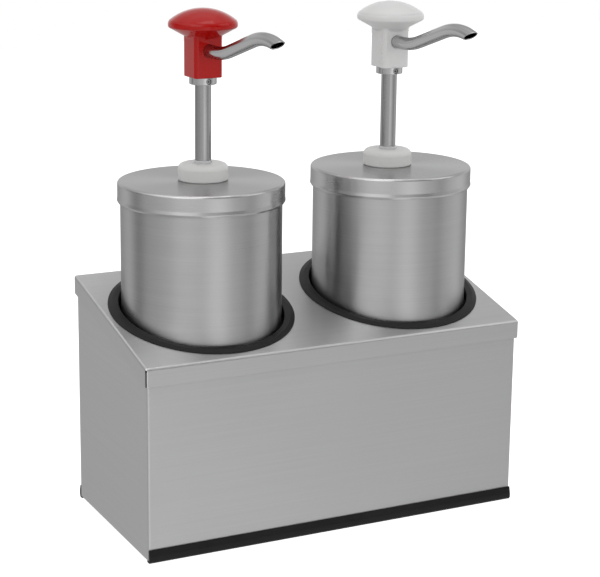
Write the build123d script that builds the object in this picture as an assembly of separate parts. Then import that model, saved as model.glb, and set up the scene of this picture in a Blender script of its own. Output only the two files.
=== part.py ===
from build123d import *
import os
from math import atan2, cos, degrees, hypot, radians, sin, tan

# Twin pump topping warmer. Millimetres, +Z up, the front faces -Y, left is -X.
# The origin is the middle of the sole of the front foot strip.

# ---------------------------------------------------------------- housing
BODY_WIDTH = 408.0
RING_SIDE_MARGIN = 3.7
RING_END_MARGIN = 1.5
RING_GAP = 25.8
RING_R = (BODY_WIDTH - 2 * RING_SIDE_MARGIN - RING_GAP) / 4
BODY_DEPTH = 2 * (RING_R + RING_END_MARGIN)
BODY_BEND = 2.0
SHEET = 1.2
DECK_FRONT_HEIGHT = 194.4
DECK_REAR_HEIGHT = 240.4
DECK_OVERHANG = 2.5
DECK_FLANGE = 18.7
DECK_BEND = 2.5
DECK_BEND_GAP = 0.4
SEAM = 0.5
SHELL_BOTTOM = 2.0
RETURN_FLANGE = 12.0

STRIP_HEIGHT = 13.0
STRIP_BULGE = 2.8
STRIP_EDGE = 1.0
STRIP_INNER_LEG = 2.5
STRIP_INNER_HEIGHT = 11.0
STRIP_SOLE = STRIP_BULGE + SHEET + STRIP_INNER_LEG

PLATE_RIM = 12.0
PLATE_GAP = 0.3
VENT_LENGTH = 30.0
VENT_WIDTH = 4.0
VENT_PITCH = 12.0
VENTS_PER_ROW = 9
VENT_ROWS = 2
VENT_ROW_GAP = 24.0
BASE_SCREW_R = 2.0
BASE_SCREW_HEAD_R = 3.6
BASE_SCREW_HEAD = 1.4
BASE_SCREW_LENGTH = 6.0
CLINCH_NUT_R = 3.6
CLINCH_NUT_HEIGHT = 3.0
BASE_SCREW_INSET = 25.2
BASE_SCREW_Y = BODY_DEPTH / 2 - BASE_SCREW_INSET

# ---------------------------------------------------------------- wells
JAR_SPACING = 2 * RING_R + RING_GAP
JAR_SETBACK = 1.0
RING_LAP = 5.7
WELL_R = RING_R - RING_LAP
WELL_WALL = 1.0
WELL_FLOOR_Z = 96.0
WELL_CORNER = 6.0
STUD_R = 3.0
STUD_LENGTH = 28.0
HEATER_INSET = 23.0
HEATER_R = WELL_R - HEATER_INSET
HEATER_THICKNESS = 8.0
HEATER_PIN_R = 2.0
HEATER_PIN_LENGTH = 9.0
INSULATION_OVER = 3.0
INSULATION_R = HEATER_R + INSULATION_OVER
INSULATION_THICKNESS = 10.0
NUT_FLATS = 10.0
NUT_HEIGHT = 6.0
NUT_FLANGE_R = 7.5
NUT_FLANGE = 1.6
CUTOUT_R = 7.5
CUTOUT_HEIGHT = 6.0
CUTOUT_GAP = 1.5
CUTOUT_RADIUS_OUT = HEATER_R + CUTOUT_GAP + CUTOUT_R
RING_THICKNESS = 2.6
RING_EDGE = 1.0
RING_BEVEL = 4.3
RING_NECK = 5.5
RING_BORE_R = WELL_R - RING_NECK
RING_NECK_DEPTH = 8.0
RING_FIT = 0.2

# ---------------------------------------------------------------- jars and lids
JAR_CLEARANCE = 2.5
JAR_R = RING_BORE_R - JAR_CLEARANCE
JAR_WALL = 1.0
JAR_CORNER = 6.0
JAR_RIM_ROLL = 0.7
JAR_RIM_R = JAR_R + JAR_RIM_ROLL
JAR_RIM_ROUND = 1.5
JAR_HEIGHT = 251.5
LID_SHEET = 0.9
LID_FIT = 0.7
LID_R = JAR_RIM_R + LID_FIT + LID_SHEET
LID_BEND = 2.6
LID_DEPTH = 21.0
LID_FLARE = 0.8
LID_FLARE_HEIGHT = 3.6

# ---------------------------------------------------------------- pumps
PUMP_INSET = 2.7
PUMP_SETBACK = 2.1
LEFT_HEAD_TURN = 1.5
RIGHT_HEAD_TURN = -0.9
RUNNING_FIT = 0.05
NECK_R = 17.0
NECK_HEIGHT = 13.0
NECK_GUIDE = 9.0
NECK_FLANGE_R = 22.0
NECK_FLANGE = 2.5
NECK_FIT = 0.3
COLLAR_R = 25.0
COLLAR_HEIGHT = 16.8
COLLAR_ROUND = 6.0
COLLAR_CHAMFER = 2.0
COLLAR_THREAD_FIT = 0.1
WIPER_FLANGE_R = 12.0
WIPER_FLANGE = 2.2
WIPER_LIP_R = 8.9
WIPER_LIP_ABOVE = 2.6
WIPER_FIT = 0.1
CYLINDER_BORE_R = 12.6
CYLINDER_WALL = 1.6
STEM_R = 8.0
STEM_WALL = 2.0
STEM_IN_HEAD = 20.0
STEM_STOP_R = 12.0
STEM_STOP = 3.0
STOP_GAP = 0.3
STOP_COLLAR_R = 13.45
STOP_COLLAR_HEIGHT = 7.0
STOP_COLLAR_Z = 442.9
SET_SCREW_R = 2.4
SET_SCREW_SINK = 0.4
SET_SCREW_SOCKET_R = 1.5
SET_SCREW_SOCKET_DEPTH = 2.0
PISTON_R = 12.2
PISTON_HEIGHT = 16.0
PISTON_SOCKET = 8.0
PISTON_PASSAGE_R = 3.6
PISTON_SEAT_RISE = 3.0
SEAL_HEIGHT = 4.0
SEAL_DEPTH = 2.2
SEAL_DROP = 3.5
DISCHARGE_BALL_R = 4.75
INTAKE_BALL_R = 6.35
BALL_SEAT_GAP = 0.15
BALL_LIFT = 2.5
BALL_STOP_PIN_R = 1.0
SPRING_WIRE_R = 1.0
SPRING_MEAN_R = 9.8
SPRING_TURNS = 8
SPRING_CLOSED_LENGTH = 26.0
SPRING_SEAT_GAP = 0.1
FOOT_CLEARANCE = 8.0
FOOT_FLANGE = 3.0
FOOT_FLANGE_R = 15.4
FOOT_INLET_R = 4.5
FOOT_INLET = 2.0
FOOT_CHAMBER_R = 8.0
FOOT_CAGE = 2.0
FOOT_CAGE_HOLE_R = 2.3
FOOT_CAGE_HOLES = 4

# ---------------------------------------------------------------- pump heads
HEAD_BLOCK = 29.6
HEAD_BLOCK_ROUND = 4.0
HEAD_BLOCK_FOOT_ROUND = 1.2
HEAD_RIM_Z = 500.6
HEAD_RIM_R = 33.8
HEAD_DOME_RISE = 16.0
HEAD_DOME_R = 51.0
HEAD_RIM_BOTTOM = 2.3
HEAD_RIM_TOP_ROUND = 6.0
HEAD_RIM_BOTTOM_ROUND = 2.5
HEAD_CONE_R = 13.0
HEAD_CONE_DROP = 13.6
HEAD_PASSAGE_R = 5.0
HEAD_SOCKET_FIT = 0.05
HEAD_SOCKET_PAST = 1.0
SPOUT_Z = 476.4
SPOUT_R = 6.35
SPOUT_WALL = 1.0
SPOUT_FIT = 0.15
SPOUT_ROOT = 2.0
SPOUT_LEVEL_RUN = 28.0
SPOUT_REACH = 156.0
SPOUT_RISE_ANGLE = 17.0
SPOUT_FALL_ANGLE = 14.5
SPOUT_LOWER_BEND = 110.0
SPOUT_UPPER_BEND = 88.0
SPOUT_MOUTH_ANGLE = 58.0
SPOUT_MOUTH_SPARE = 9.0

# ---------------------------------------------------------------- rear controls
PANEL_WIDTH = 150.0
PANEL_HEIGHT = 84.0
PANEL_ROUND = 4.0
PANEL_Z = 72.0
PANEL_LAP = 6.0
PANEL_SCREW_INSET = 3.0
PANEL_SCREW_R = 1.5
PANEL_SCREW_HEAD_R = 2.6
PANEL_SCREW_HEAD = 1.6
PANEL_SCREW_LENGTH = 6.0
SCREW_HOLE_FIT = 0.1
KNOB_X = 44.0
KNOB_R = 19.0
KNOB_HEIGHT = 17.0
KNOB_SKIRT_R = 21.0
KNOB_SKIRT = 3.0
KNOB_GAP = 0.6
KNOB_FLUTES = 10
KNOB_FLUTE_R = 3.0
THERMOSTAT_SHAFT_R = 3.0
THERMOSTAT_SHAFT_FLAT = 1.5
THERMOSTAT_SHAFT_OUT = 14.0
THERMOSTAT_BUSH_R = 5.0
THERMOSTAT_SIZE = 34.0
THERMOSTAT_DEPTH = 26.0
THERMOSTAT_SHAFT_IN = 10.0
ROCKER_WIDTH = 21.0
ROCKER_HEIGHT = 13.4
ROCKER_GAP = 0.3
ROCKER_PROUD = 2.6
ROCKER_DEPTH = 9.0
ROCKER_TILT = 7.0
ROCKER_PIN_R = 1.5
ROCKER_PIN_LENGTH = 1.2
SWITCH_WALL = 2.4
SWITCH_BEZEL = 2.0
SWITCH_BEZEL_LAP = 1.8
SWITCH_DEPTH = 22.0
INLET_X = -44.0
INLET_WIDTH = 27.0
INLET_HEIGHT = 19.8
INLET_CAVITY_WIDTH = 24.0
INLET_CAVITY_HEIGHT = 16.4
INLET_CAVITY_DEPTH = 16.0
INLET_DEPTH = 21.0
INLET_BEZEL = 2.0
INLET_BEZEL_LAP = 2.0
INLET_CORNER_CUT = 4.0
INLET_PIN_WIDTH = 4.0
INLET_PIN_THICKNESS = 2.0
INLET_PIN_LENGTH = 13.0
INLET_PIN_PITCH = 7.0
INLET_EARTH_RISE = 2.0
BLOCK_LENGTH = 46.0
BLOCK_WIDTH = 16.0
BLOCK_HEIGHT = 13.0
BLOCK_WAYS = 4
BLOCK_WIRE_R = 2.2
BLOCK_SCREW_R = 2.0
BLOCK_SCREW_DEPTH = 3.0

# ---------------------------------------------------------------- places worked out from the sizes
FRONT_Y = STRIP_BULGE - STRIP_SOLE / 2
REAR_Y = FRONT_Y + BODY_DEPTH
MIDDLE_Y = (FRONT_Y + REAR_Y) / 2
DECK_FRONT_Y = FRONT_Y - DECK_OVERHANG
DECK_REAR_Y = REAR_Y + DECK_OVERHANG
DECK_ANGLE = atan2(DECK_REAR_HEIGHT - DECK_FRONT_HEIGHT, DECK_REAR_Y - DECK_FRONT_Y)
JAR_Y = MIDDLE_Y + JAR_SETBACK
JAR_BASE_Z = WELL_FLOOR_Z
JAR_FLOOR_Z = JAR_BASE_Z + JAR_WALL
JAR_RIM_Z = JAR_BASE_Z + JAR_HEIGHT
LID_TOP_Z = JAR_RIM_Z + LID_SHEET
LID_SKIRT_Z = LID_TOP_Z - LID_DEPTH
LID_INNER_R = LID_R - LID_SHEET
PUMP_Y = JAR_Y + PUMP_SETBACK
WELL_OUTER_R = WELL_R + WELL_WALL
WELL_UNDER_Z = WELL_FLOOR_Z - WELL_WALL

NECK_TOP_Z = LID_TOP_Z + NECK_HEIGHT
GUIDE_BOTTOM_Z = NECK_TOP_Z - NECK_GUIDE
CYLINDER_OUTER_R = CYLINDER_BORE_R + CYLINDER_WALL
COLLAR_TOP_Z = LID_TOP_Z + COLLAR_HEIGHT
WIPER_BOTTOM_Z = NECK_TOP_Z + WIPER_FIT
WIPER_SHOULDER_Z = WIPER_BOTTOM_Z + WIPER_FLANGE
WIPER_TOP_Z = COLLAR_TOP_Z + WIPER_LIP_ABOVE
STROKE = STOP_COLLAR_Z - WIPER_TOP_Z - STOP_GAP
HEAD_FOOT_Z = STOP_COLLAR_Z + STOP_COLLAR_HEIGHT
STEM_TOP_Z = HEAD_FOOT_Z + STEM_IN_HEAD
STEM_BORE_R = STEM_R - STEM_WALL

FOOT_BOTTOM_Z = JAR_FLOOR_Z + FOOT_CLEARANCE
CYLINDER_BOTTOM_Z = FOOT_BOTTOM_Z + FOOT_FLANGE
FOOT_SEAT_Z = FOOT_BOTTOM_Z + FOOT_INLET
FOOT_SEAT_SLOPE = 1.0
FOOT_SEAT_TOP_Z = FOOT_SEAT_Z + (FOOT_CHAMBER_R - FOOT_INLET_R) / FOOT_SEAT_SLOPE


def ball_height(ball_r, throat_r, slope):
    """Height of a seated ball's centre above the throat of a cone that widens by slope per unit of height."""
    return ((ball_r + BALL_SEAT_GAP) * hypot(1, slope) - throat_r) / slope


INTAKE_BALL_Z = FOOT_SEAT_Z + ball_height(INTAKE_BALL_R, FOOT_INLET_R, FOOT_SEAT_SLOPE)
FOOT_CAGE_Z = INTAKE_BALL_Z + INTAKE_BALL_R + BALL_LIFT + BALL_SEAT_GAP
FOOT_TOP_Z = FOOT_CAGE_Z + FOOT_CAGE

PISTON_BOTTOM_Z = FOOT_TOP_Z + SPRING_CLOSED_LENGTH + STROKE
PISTON_TOP_Z = PISTON_BOTTOM_Z + PISTON_HEIGHT
STEM_BOTTOM_Z = PISTON_TOP_Z - PISTON_SOCKET
PISTON_SEAT_TOP_Z = STEM_BOTTOM_Z
PISTON_SEAT_Z = PISTON_SEAT_TOP_Z - PISTON_SEAT_RISE
PISTON_SEAT_SLOPE = (STEM_BORE_R - PISTON_PASSAGE_R) / PISTON_SEAT_RISE
DISCHARGE_BALL_Z = PISTON_SEAT_Z + ball_height(DISCHARGE_BALL_R, PISTON_PASSAGE_R, PISTON_SEAT_SLOPE)
BALL_STOP_PIN_Z = DISCHARGE_BALL_Z + DISCHARGE_BALL_R + BALL_LIFT + BALL_SEAT_GAP + BALL_STOP_PIN_R

SIDES = {"left": -1, "right": 1}
HEAD_TURN = {"left": LEFT_HEAD_TURN, "right": RIGHT_HEAD_TURN}
PANEL_OUTER_Y = REAR_Y + SHEET


# ---------------------------------------------------------------- shared shapes
def turned(*outline, rounds=()):
    """A solid of revolution about Z from an (r, z) outline; rounds lists (corner, radius) pairs."""
    face = make_face(Polyline(*outline, close=True))
    for corner, radius in rounds:
        vertex = face.vertices().sort_by_distance((corner[0], corner[1], 0))[0]
        face = fillet(vertex, radius)
    return revolve(Plane.XZ * face, Axis.Z)


def tube(outer_r, inner_r, bottom, top):
    return turned((inner_r, bottom), (outer_r, bottom), (outer_r, top), (inner_r, top))


def disc(radius, bottom, top):
    return Pos(0, 0, (bottom + top) / 2) * Cylinder(radius, top - bottom)


def block(x, y, z):
    """A box from three (low, high) pairs."""
    spans = [high - low for low, high in (x, y, z)]
    centre = [(low + high) / 2 for low, high in (x, y, z)]
    return Pos(*centre) * Box(*spans)


def across(outline, half_width, rounds=()):
    """A bar along X from a (y, z) outline; rounds lists (corner, radius) pairs."""
    face = make_face(Polyline(*outline, close=True))
    for corner, radius in rounds:
        vertex = face.vertices().sort_by_distance((corner[0], corner[1], 0))[0]
        face = fillet(vertex, radius)
    return extrude(Plane.YZ * face, half_width, both=True)


def rearward(sketch, start, length):
    """Extrudes an (x, z) sketch towards +Y from y = start."""
    return Pos(0, start, 0) * extrude(Plane.XZ * sketch, -length)


def deck_z(y, drop=0.0):
    """Height of the deck's top plane at y, or of a plane lying drop below it."""
    return DECK_FRONT_HEIGHT + (y - DECK_FRONT_Y) * tan(DECK_ANGLE) - drop / cos(DECK_ANGLE)


def under_deck(drop):
    """Everything under the plane that lies drop below the deck's top."""
    front, rear, low = FRONT_Y - BODY_DEPTH, REAR_Y + BODY_DEPTH, -DECK_FRONT_HEIGHT
    outline = ((front, low), (front, deck_z(front, drop)), (rear, deck_z(rear, drop)), (rear, low))
    return across(outline, BODY_WIDTH)


# ---------------------------------------------------------------- housing
def deck_block(inset, flange):
    """The wedge that the deck's skin encloses, inset from its outer faces."""
    front, rear = DECK_FRONT_Y + inset, DECK_REAR_Y - inset
    outline = (
        (front, deck_z(front, flange)),
        (front, deck_z(front, inset)),
        (rear, deck_z(rear, inset)),
        (rear, deck_z(rear, flange)),
    )
    solid = across(outline, BODY_WIDTH / 2 + DECK_OVERHANG - inset)
    top = solid.faces().sort_by(Axis.Z)[-1].edges()
    uprights = solid.edges().filter_by(Axis.Z)
    bend = DECK_BEND if inset == 0 else min(DECK_BEND - inset, DECK_OVERHANG - inset - DECK_BEND_GAP)
    return fillet(top + uprights, bend)


def top_deck():
    deck = deck_block(0, DECK_FLANGE * cos(DECK_ANGLE)) - deck_block(SHEET, 3 * DECK_FLANGE)
    seam_x = BODY_WIDTH / 2 + DECK_OVERHANG - DECK_BEND
    for side in SIDES.values():
        deck -= Pos(side * JAR_SPACING / 2, JAR_Y, 0) * disc(WELL_R, 0, 2 * DECK_REAR_HEIGHT)
        seam = (side * seam_x - SEAM / 2, side * seam_x + SEAM / 2)
        for y in (DECK_FRONT_Y, DECK_REAR_Y):
            low, high = deck_z(y, 2 * DECK_FLANGE), deck_z(y, 2 * DECK_BEND)
            deck -= block(seam, (y - SHEET, y + SHEET), (low, high))
    return deck


def outer_shell():
    top = 2 * DECK_REAR_HEIGHT
    outside = RectangleRounded(BODY_WIDTH, BODY_DEPTH, BODY_BEND)
    inside = RectangleRounded(BODY_WIDTH - 2 * SHEET, BODY_DEPTH - 2 * SHEET, BODY_BEND - SHEET)
    shell = Pos(0, MIDDLE_Y, SHELL_BOTTOM) * extrude(outside - inside, top)
    shell &= under_deck(SHEET)
    wall_x = BODY_WIDTH / 2 - SHEET / 2
    for side in SIDES.values():
        near, far = sorted((side * wall_x, side * (wall_x - RETURN_FLANGE)))
        flange = block((near, far), plate_span(0), (SHELL_BOTTOM, SHELL_BOTTOM + SHEET))
        shell += flange - base_screw_holes()
    opening = Rectangle(PANEL_WIDTH - 2 * PANEL_LAP, PANEL_HEIGHT - 2 * PANEL_LAP)
    shell -= rearward(Pos(0, PANEL_Z) * opening, REAR_Y - 2 * SHEET, 3 * SHEET)
    shell -= panel_screw_holes()
    return shell


def foot_strip(outward):
    """A channel pressed up over the bottom edge of the front (-1) or rear (+1) panel."""
    face_y = FRONT_Y if outward < 0 else REAR_Y
    inner = -SHEET - STRIP_INNER_LEG
    nose_top = (STRIP_BULGE, STRIP_HEIGHT / 2)
    nose_low = (STRIP_BULGE, 2.2)
    profile = (
        (0, SHELL_BOTTOM),
        (0, STRIP_HEIGHT),
        (STRIP_EDGE, STRIP_HEIGHT),
        nose_top,
        nose_low,
        (STRIP_BULGE - 1.4, 0),
        (inner, 0),
        (inner, STRIP_INNER_HEIGHT),
        (-SHEET, STRIP_INNER_HEIGHT),
        (-SHEET, SHELL_BOTTOM),
    )
    place = [(face_y + outward * out, z) for out, z in profile]
    rounds = (
        ((face_y + outward * nose_top[0], nose_top[1]), 4.0),
        ((face_y + outward * nose_low[0], nose_low[1]), 1.0),
    )
    strip = across(place, BODY_WIDTH / 2, rounds)
    inward = sorted((face_y, face_y - outward * 2 * STRIP_SOLE))
    for side in SIDES.values():
        ends = sorted((side * (BODY_WIDTH / 2 - BODY_BEND - PLATE_GAP), side * BODY_WIDTH))
        strip -= block(ends, inward, (SHELL_BOTTOM, 2 * STRIP_HEIGHT))
    return strip


def plate_span(gap):
    """The (low, high) in y between the inner legs of the two foot strips, less a gap at each."""
    leg = SHEET + STRIP_INNER_LEG + PLATE_GAP + gap
    return FRONT_Y + leg, REAR_Y - leg


def base_screw_places():
    x = BODY_WIDTH / 2 - SHEET - RETURN_FLANGE / 2
    return [(side * x, MIDDLE_Y + end * BASE_SCREW_Y) for side in (-1, 1) for end in (-1, 1)]


def base_screw_holes():
    hole_r = BASE_SCREW_R + SCREW_HOLE_FIT
    return [Pos(x, y, 0) * disc(hole_r, -1, 4 * CLINCH_NUT_HEIGHT) for x, y in base_screw_places()]


def base_plate():
    bottom = SHELL_BOTTOM + SHEET
    half = BODY_WIDTH / 2 - SHEET - PLATE_GAP
    low, high = plate_span(PLATE_GAP)
    outline = (
        (low, bottom + PLATE_RIM),
        (low, bottom),
        (high, bottom),
        (high, bottom + PLATE_RIM),
        (high - SHEET, bottom + PLATE_RIM),
        (high - SHEET, bottom + SHEET),
        (low + SHEET, bottom + SHEET),
        (low + SHEET, bottom + PLATE_RIM),
    )
    plate = across(outline, half)
    vent = SlotOverall(VENT_LENGTH, VENT_WIDTH, 90)
    places = GridLocations(VENT_PITCH, VENT_LENGTH + VENT_ROW_GAP, VENTS_PER_ROW, VENT_ROWS)
    for side in SIDES.values():
        vents = Sketch() + places * vent
        plate -= Pos(side * JAR_SPACING / 2, MIDDLE_Y, bottom) * extrude(vents, 2 * SHEET, both=True)
    for x, y in base_screw_places():
        plate += Pos(x, y, 0) * disc(CLINCH_NUT_R, bottom, bottom + SHEET + CLINCH_NUT_HEIGHT)
    return plate - base_screw_holes()


def base_screws():
    return [Pos(x, y, 0) * base_screw() for x, y in base_screw_places()]


def base_screw():
    head_z = SHELL_BOTTOM - BASE_SCREW_HEAD
    screw = disc(BASE_SCREW_HEAD_R, head_z, SHELL_BOTTOM)
    screw += disc(BASE_SCREW_R, SHELL_BOTTOM, SHELL_BOTTOM + BASE_SCREW_LENGTH)
    slot = block((-0.5, 0.5), (-BASE_SCREW_HEAD_R, BASE_SCREW_HEAD_R), (0, head_z + BASE_SCREW_HEAD / 2))
    return screw - slot


# ---------------------------------------------------------------- wells
def well():
    floor, outer, top = WELL_UNDER_Z, WELL_OUTER_R, 2 * DECK_REAR_HEIGHT
    can = turned(
        (0, floor), (outer, floor), (outer, top), (WELL_R, top), (WELL_R, WELL_FLOOR_Z), (0, WELL_FLOOR_Z),
        rounds=(((outer, floor), WELL_CORNER + WELL_WALL), ((WELL_R, WELL_FLOOR_Z), WELL_CORNER)),
    )
    return can + disc(STUD_R, floor - STUD_LENGTH, floor + WELL_WALL / 2)


def heater():
    top, bottom = WELL_UNDER_Z, WELL_UNDER_Z - HEATER_THICKNESS
    plate = tube(HEATER_R, STUD_R + SCREW_HOLE_FIT, bottom, top)
    pin = Rot(X=-90) * Cylinder(HEATER_PIN_R, 2 * HEATER_PIN_LENGTH)
    for side in (-1, 1):
        plate += Pos(side * 3 * HEATER_PIN_R, -HEATER_R, (top + bottom) / 2) * pin
    return plate


def insulation():
    top = WELL_UNDER_Z - HEATER_THICKNESS
    return tube(INSULATION_R, STUD_R + SCREW_HOLE_FIT, top - INSULATION_THICKNESS, top)


def heater_nut():
    top = WELL_UNDER_Z - HEATER_THICKNESS - INSULATION_THICKNESS
    nut = tube(NUT_FLANGE_R, STUD_R + SCREW_HOLE_FIT / 2, top - NUT_FLANGE, top)
    hexagon = RegularPolygon(NUT_FLATS / 2, 6, major_radius=False) - Circle(STUD_R + SCREW_HOLE_FIT / 2)
    return nut + Pos(0, 0, top - NUT_HEIGHT) * extrude(hexagon, NUT_HEIGHT - NUT_FLANGE)


def thermal_cutout():
    cutout = disc(CUTOUT_R, WELL_UNDER_Z - CUTOUT_HEIGHT, WELL_UNDER_Z)
    tab = (WELL_UNDER_Z - CUTOUT_HEIGHT - 5, WELL_UNDER_Z - CUTOUT_HEIGHT)
    for x in (-3.5, 3.5):
        cutout += block((x - 0.4, x + 0.4), (-2, 2), tab)
    return Pos(0, CUTOUT_RADIUS_OUT, 0) * cutout


def well_ring(side):
    """A rubber ring with a sloping rim on the deck, and an upright neck down through the deck's hole."""
    x = side * JAR_SPACING / 2
    deck_plane = Plane(
        origin=(x, JAR_Y, deck_z(JAR_Y)), x_dir=(1, 0, 0), z_dir=(0, -sin(DECK_ANGLE), cos(DECK_ANGLE))
    )
    flat_r = RING_R - RING_BEVEL
    face = deck_plane * turned(
        (0, 0), (RING_R, 0), (RING_R, RING_EDGE), (flat_r, RING_THICKNESS), (0, RING_THICKNESS)
    )
    neck = disc(WELL_R - RING_FIT, 0, 2 * DECK_REAR_HEIGHT) & across_slab(RING_NECK_DEPTH, -RING_THICKNESS / 2)
    bore = disc(RING_BORE_R, 0, 2 * DECK_REAR_HEIGHT)
    ring = face + Pos(x, JAR_Y, 0) * neck
    return ring - Pos(x, JAR_Y, 0) * bore


def across_slab(lower, upper):
    """The slab between two planes parallel to the deck, centred on a jar at the origin."""
    reach = 2 * WELL_R
    outline = [
        (y, deck_z(JAR_Y + y, drop)) for y, drop in ((-reach, lower), (reach, lower), (reach, upper), (-reach, upper))
    ]
    return across(outline, reach)


# ---------------------------------------------------------------- jars and lids
def jar():
    inner = JAR_R - JAR_WALL
    rim_low = JAR_RIM_Z - 2 * JAR_RIM_ROUND
    return turned(
        (0, JAR_BASE_Z), (JAR_R, JAR_BASE_Z), (JAR_R, rim_low - 1), (JAR_RIM_R, rim_low), (JAR_RIM_R, JAR_RIM_Z),
        (inner, JAR_RIM_Z), (inner, JAR_FLOOR_Z), (0, JAR_FLOOR_Z),
        rounds=(
            ((JAR_R, JAR_BASE_Z), JAR_CORNER),
            ((inner, JAR_FLOOR_Z), JAR_CORNER - JAR_WALL),
            ((JAR_RIM_R, JAR_RIM_Z), JAR_RIM_ROUND),
        ),
    )


def jar_lid(side):
    flare_z = LID_SKIRT_Z + LID_FLARE_HEIGHT
    lid = turned(
        (0, LID_TOP_Z), (LID_R, LID_TOP_Z), (LID_R, flare_z), (LID_R + LID_FLARE, LID_SKIRT_Z),
        (LID_INNER_R + LID_FLARE, LID_SKIRT_Z), (LID_INNER_R, flare_z), (LID_INNER_R, JAR_RIM_Z), (0, JAR_RIM_Z),
        rounds=(((LID_R, LID_TOP_Z), LID_BEND), ((LID_INNER_R, JAR_RIM_Z), LID_BEND - LID_SHEET)),
    )
    hole = disc(NECK_R + NECK_FIT, JAR_RIM_Z - 1, LID_TOP_Z + 1)
    return lid - Pos(-side * PUMP_INSET, PUMP_SETBACK, 0) * hole


# ---------------------------------------------------------------- pump, about its own axis
def collar():
    """The nylon nut that clamps the pump to the lid."""
    bore = NECK_R + COLLAR_THREAD_FIT
    pocket = WIPER_FLANGE_R + WIPER_FIT
    lip = WIPER_LIP_R + WIPER_FIT
    shelf = WIPER_SHOULDER_Z + WIPER_FIT
    nut = turned(
        (bore, LID_TOP_Z), (COLLAR_R, LID_TOP_Z), (COLLAR_R, COLLAR_TOP_Z), (lip, COLLAR_TOP_Z), (lip, shelf),
        (pocket, shelf), (pocket, NECK_TOP_Z), (bore, NECK_TOP_Z),
        rounds=(((COLLAR_R, COLLAR_TOP_Z), COLLAR_ROUND), ((COLLAR_R, LID_TOP_Z), COLLAR_CHAMFER)),
    )
    return nut


def stem_wiper():
    bore = STEM_R + RUNNING_FIT
    return turned(
        (bore, WIPER_BOTTOM_Z), (WIPER_FLANGE_R, WIPER_BOTTOM_Z), (WIPER_FLANGE_R, WIPER_SHOULDER_Z),
        (WIPER_LIP_R, WIPER_SHOULDER_Z), (WIPER_LIP_R, WIPER_TOP_Z), (bore, WIPER_TOP_Z),
    )


def cylinder():
    flange_low = JAR_RIM_Z - NECK_FLANGE
    guide = STEM_R + RUNNING_FIT
    return turned(
        (guide, NECK_TOP_Z), (NECK_R, NECK_TOP_Z), (NECK_R, JAR_RIM_Z), (NECK_FLANGE_R, JAR_RIM_Z),
        (NECK_FLANGE_R, flange_low), (CYLINDER_OUTER_R, flange_low), (CYLINDER_OUTER_R, CYLINDER_BOTTOM_Z),
        (CYLINDER_BORE_R, CYLINDER_BOTTOM_Z), (CYLINDER_BORE_R, GUIDE_BOTTOM_Z), (guide, GUIDE_BOTTOM_Z),
    )


def foot_valve():
    plug = CYLINDER_BORE_R - RUNNING_FIT
    body = turned(
        (FOOT_INLET_R, FOOT_BOTTOM_Z), (FOOT_FLANGE_R, FOOT_BOTTOM_Z), (FOOT_FLANGE_R, CYLINDER_BOTTOM_Z),
        (plug, CYLINDER_BOTTOM_Z), (plug, FOOT_TOP_Z), (0, FOOT_TOP_Z), (0, FOOT_CAGE_Z),
        (FOOT_CHAMBER_R, FOOT_CAGE_Z), (FOOT_CHAMBER_R, FOOT_SEAT_TOP_Z), (FOOT_INLET_R, FOOT_SEAT_Z),
    )
    hole_out = FOOT_CHAMBER_R - FOOT_CAGE_HOLE_R - 0.6
    ports = Sketch() + PolarLocations(hole_out, FOOT_CAGE_HOLES) * Circle(FOOT_CAGE_HOLE_R)
    return body - Pos(0, 0, FOOT_CAGE_Z - 1) * extrude(ports, FOOT_CAGE + 2)


def ball(radius, height):
    return Pos(0, 0, height) * Sphere(radius)


def return_spring():
    low = FOOT_TOP_Z + SPRING_WIRE_R + SPRING_SEAT_GAP
    height = PISTON_BOTTOM_Z - SPRING_WIRE_R - SPRING_SEAT_GAP - low
    path = Helix(height / SPRING_TURNS, height, SPRING_MEAN_R)
    section = Plane(path @ 0, z_dir=path % 0) * Circle(SPRING_WIRE_R)
    return Pos(0, 0, low) * sweep(section, path, is_frenet=True)


def stem():
    rod = turned(
        (STEM_BORE_R, STEM_BOTTOM_Z), (STEM_R, STEM_BOTTOM_Z), (STEM_R, GUIDE_BOTTOM_Z - STOP_GAP - STEM_STOP),
        (STEM_STOP_R, GUIDE_BOTTOM_Z - STOP_GAP - STEM_STOP), (STEM_STOP_R, GUIDE_BOTTOM_Z - STOP_GAP),
        (STEM_R, GUIDE_BOTTOM_Z - STOP_GAP), (STEM_R, STEM_TOP_Z), (STEM_BORE_R, STEM_TOP_Z),
    )
    pin = Pos(0, 0, BALL_STOP_PIN_Z) * Rot(Y=90) * Cylinder(BALL_STOP_PIN_R, 2 * STEM_R - STEM_WALL)
    return rod + pin


def piston():
    groove_top = PISTON_TOP_Z - SEAL_DROP
    groove_low = groove_top - SEAL_HEIGHT
    groove_r = PISTON_R - SEAL_DEPTH
    socket = STEM_R
    return turned(
        (PISTON_PASSAGE_R, PISTON_BOTTOM_Z), (PISTON_R, PISTON_BOTTOM_Z), (PISTON_R, groove_low),
        (groove_r, groove_low), (groove_r, groove_top), (PISTON_R, groove_top), (PISTON_R, PISTON_TOP_Z),
        (socket, PISTON_TOP_Z), (socket, STEM_BOTTOM_Z), (STEM_BORE_R, STEM_BOTTOM_Z),
        (PISTON_PASSAGE_R, PISTON_SEAT_Z),
    )


def piston_seal():
    top = PISTON_TOP_Z - SEAL_DROP
    bottom = top - SEAL_HEIGHT
    lip = CYLINDER_BORE_R - RUNNING_FIT
    inner = PISTON_R - SEAL_DEPTH
    return turned(
        (inner, bottom), (lip, bottom), (lip, top), (inner, top),
        rounds=(((lip, bottom), 0.4), ((lip, top), 0.4)),
    )


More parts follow.
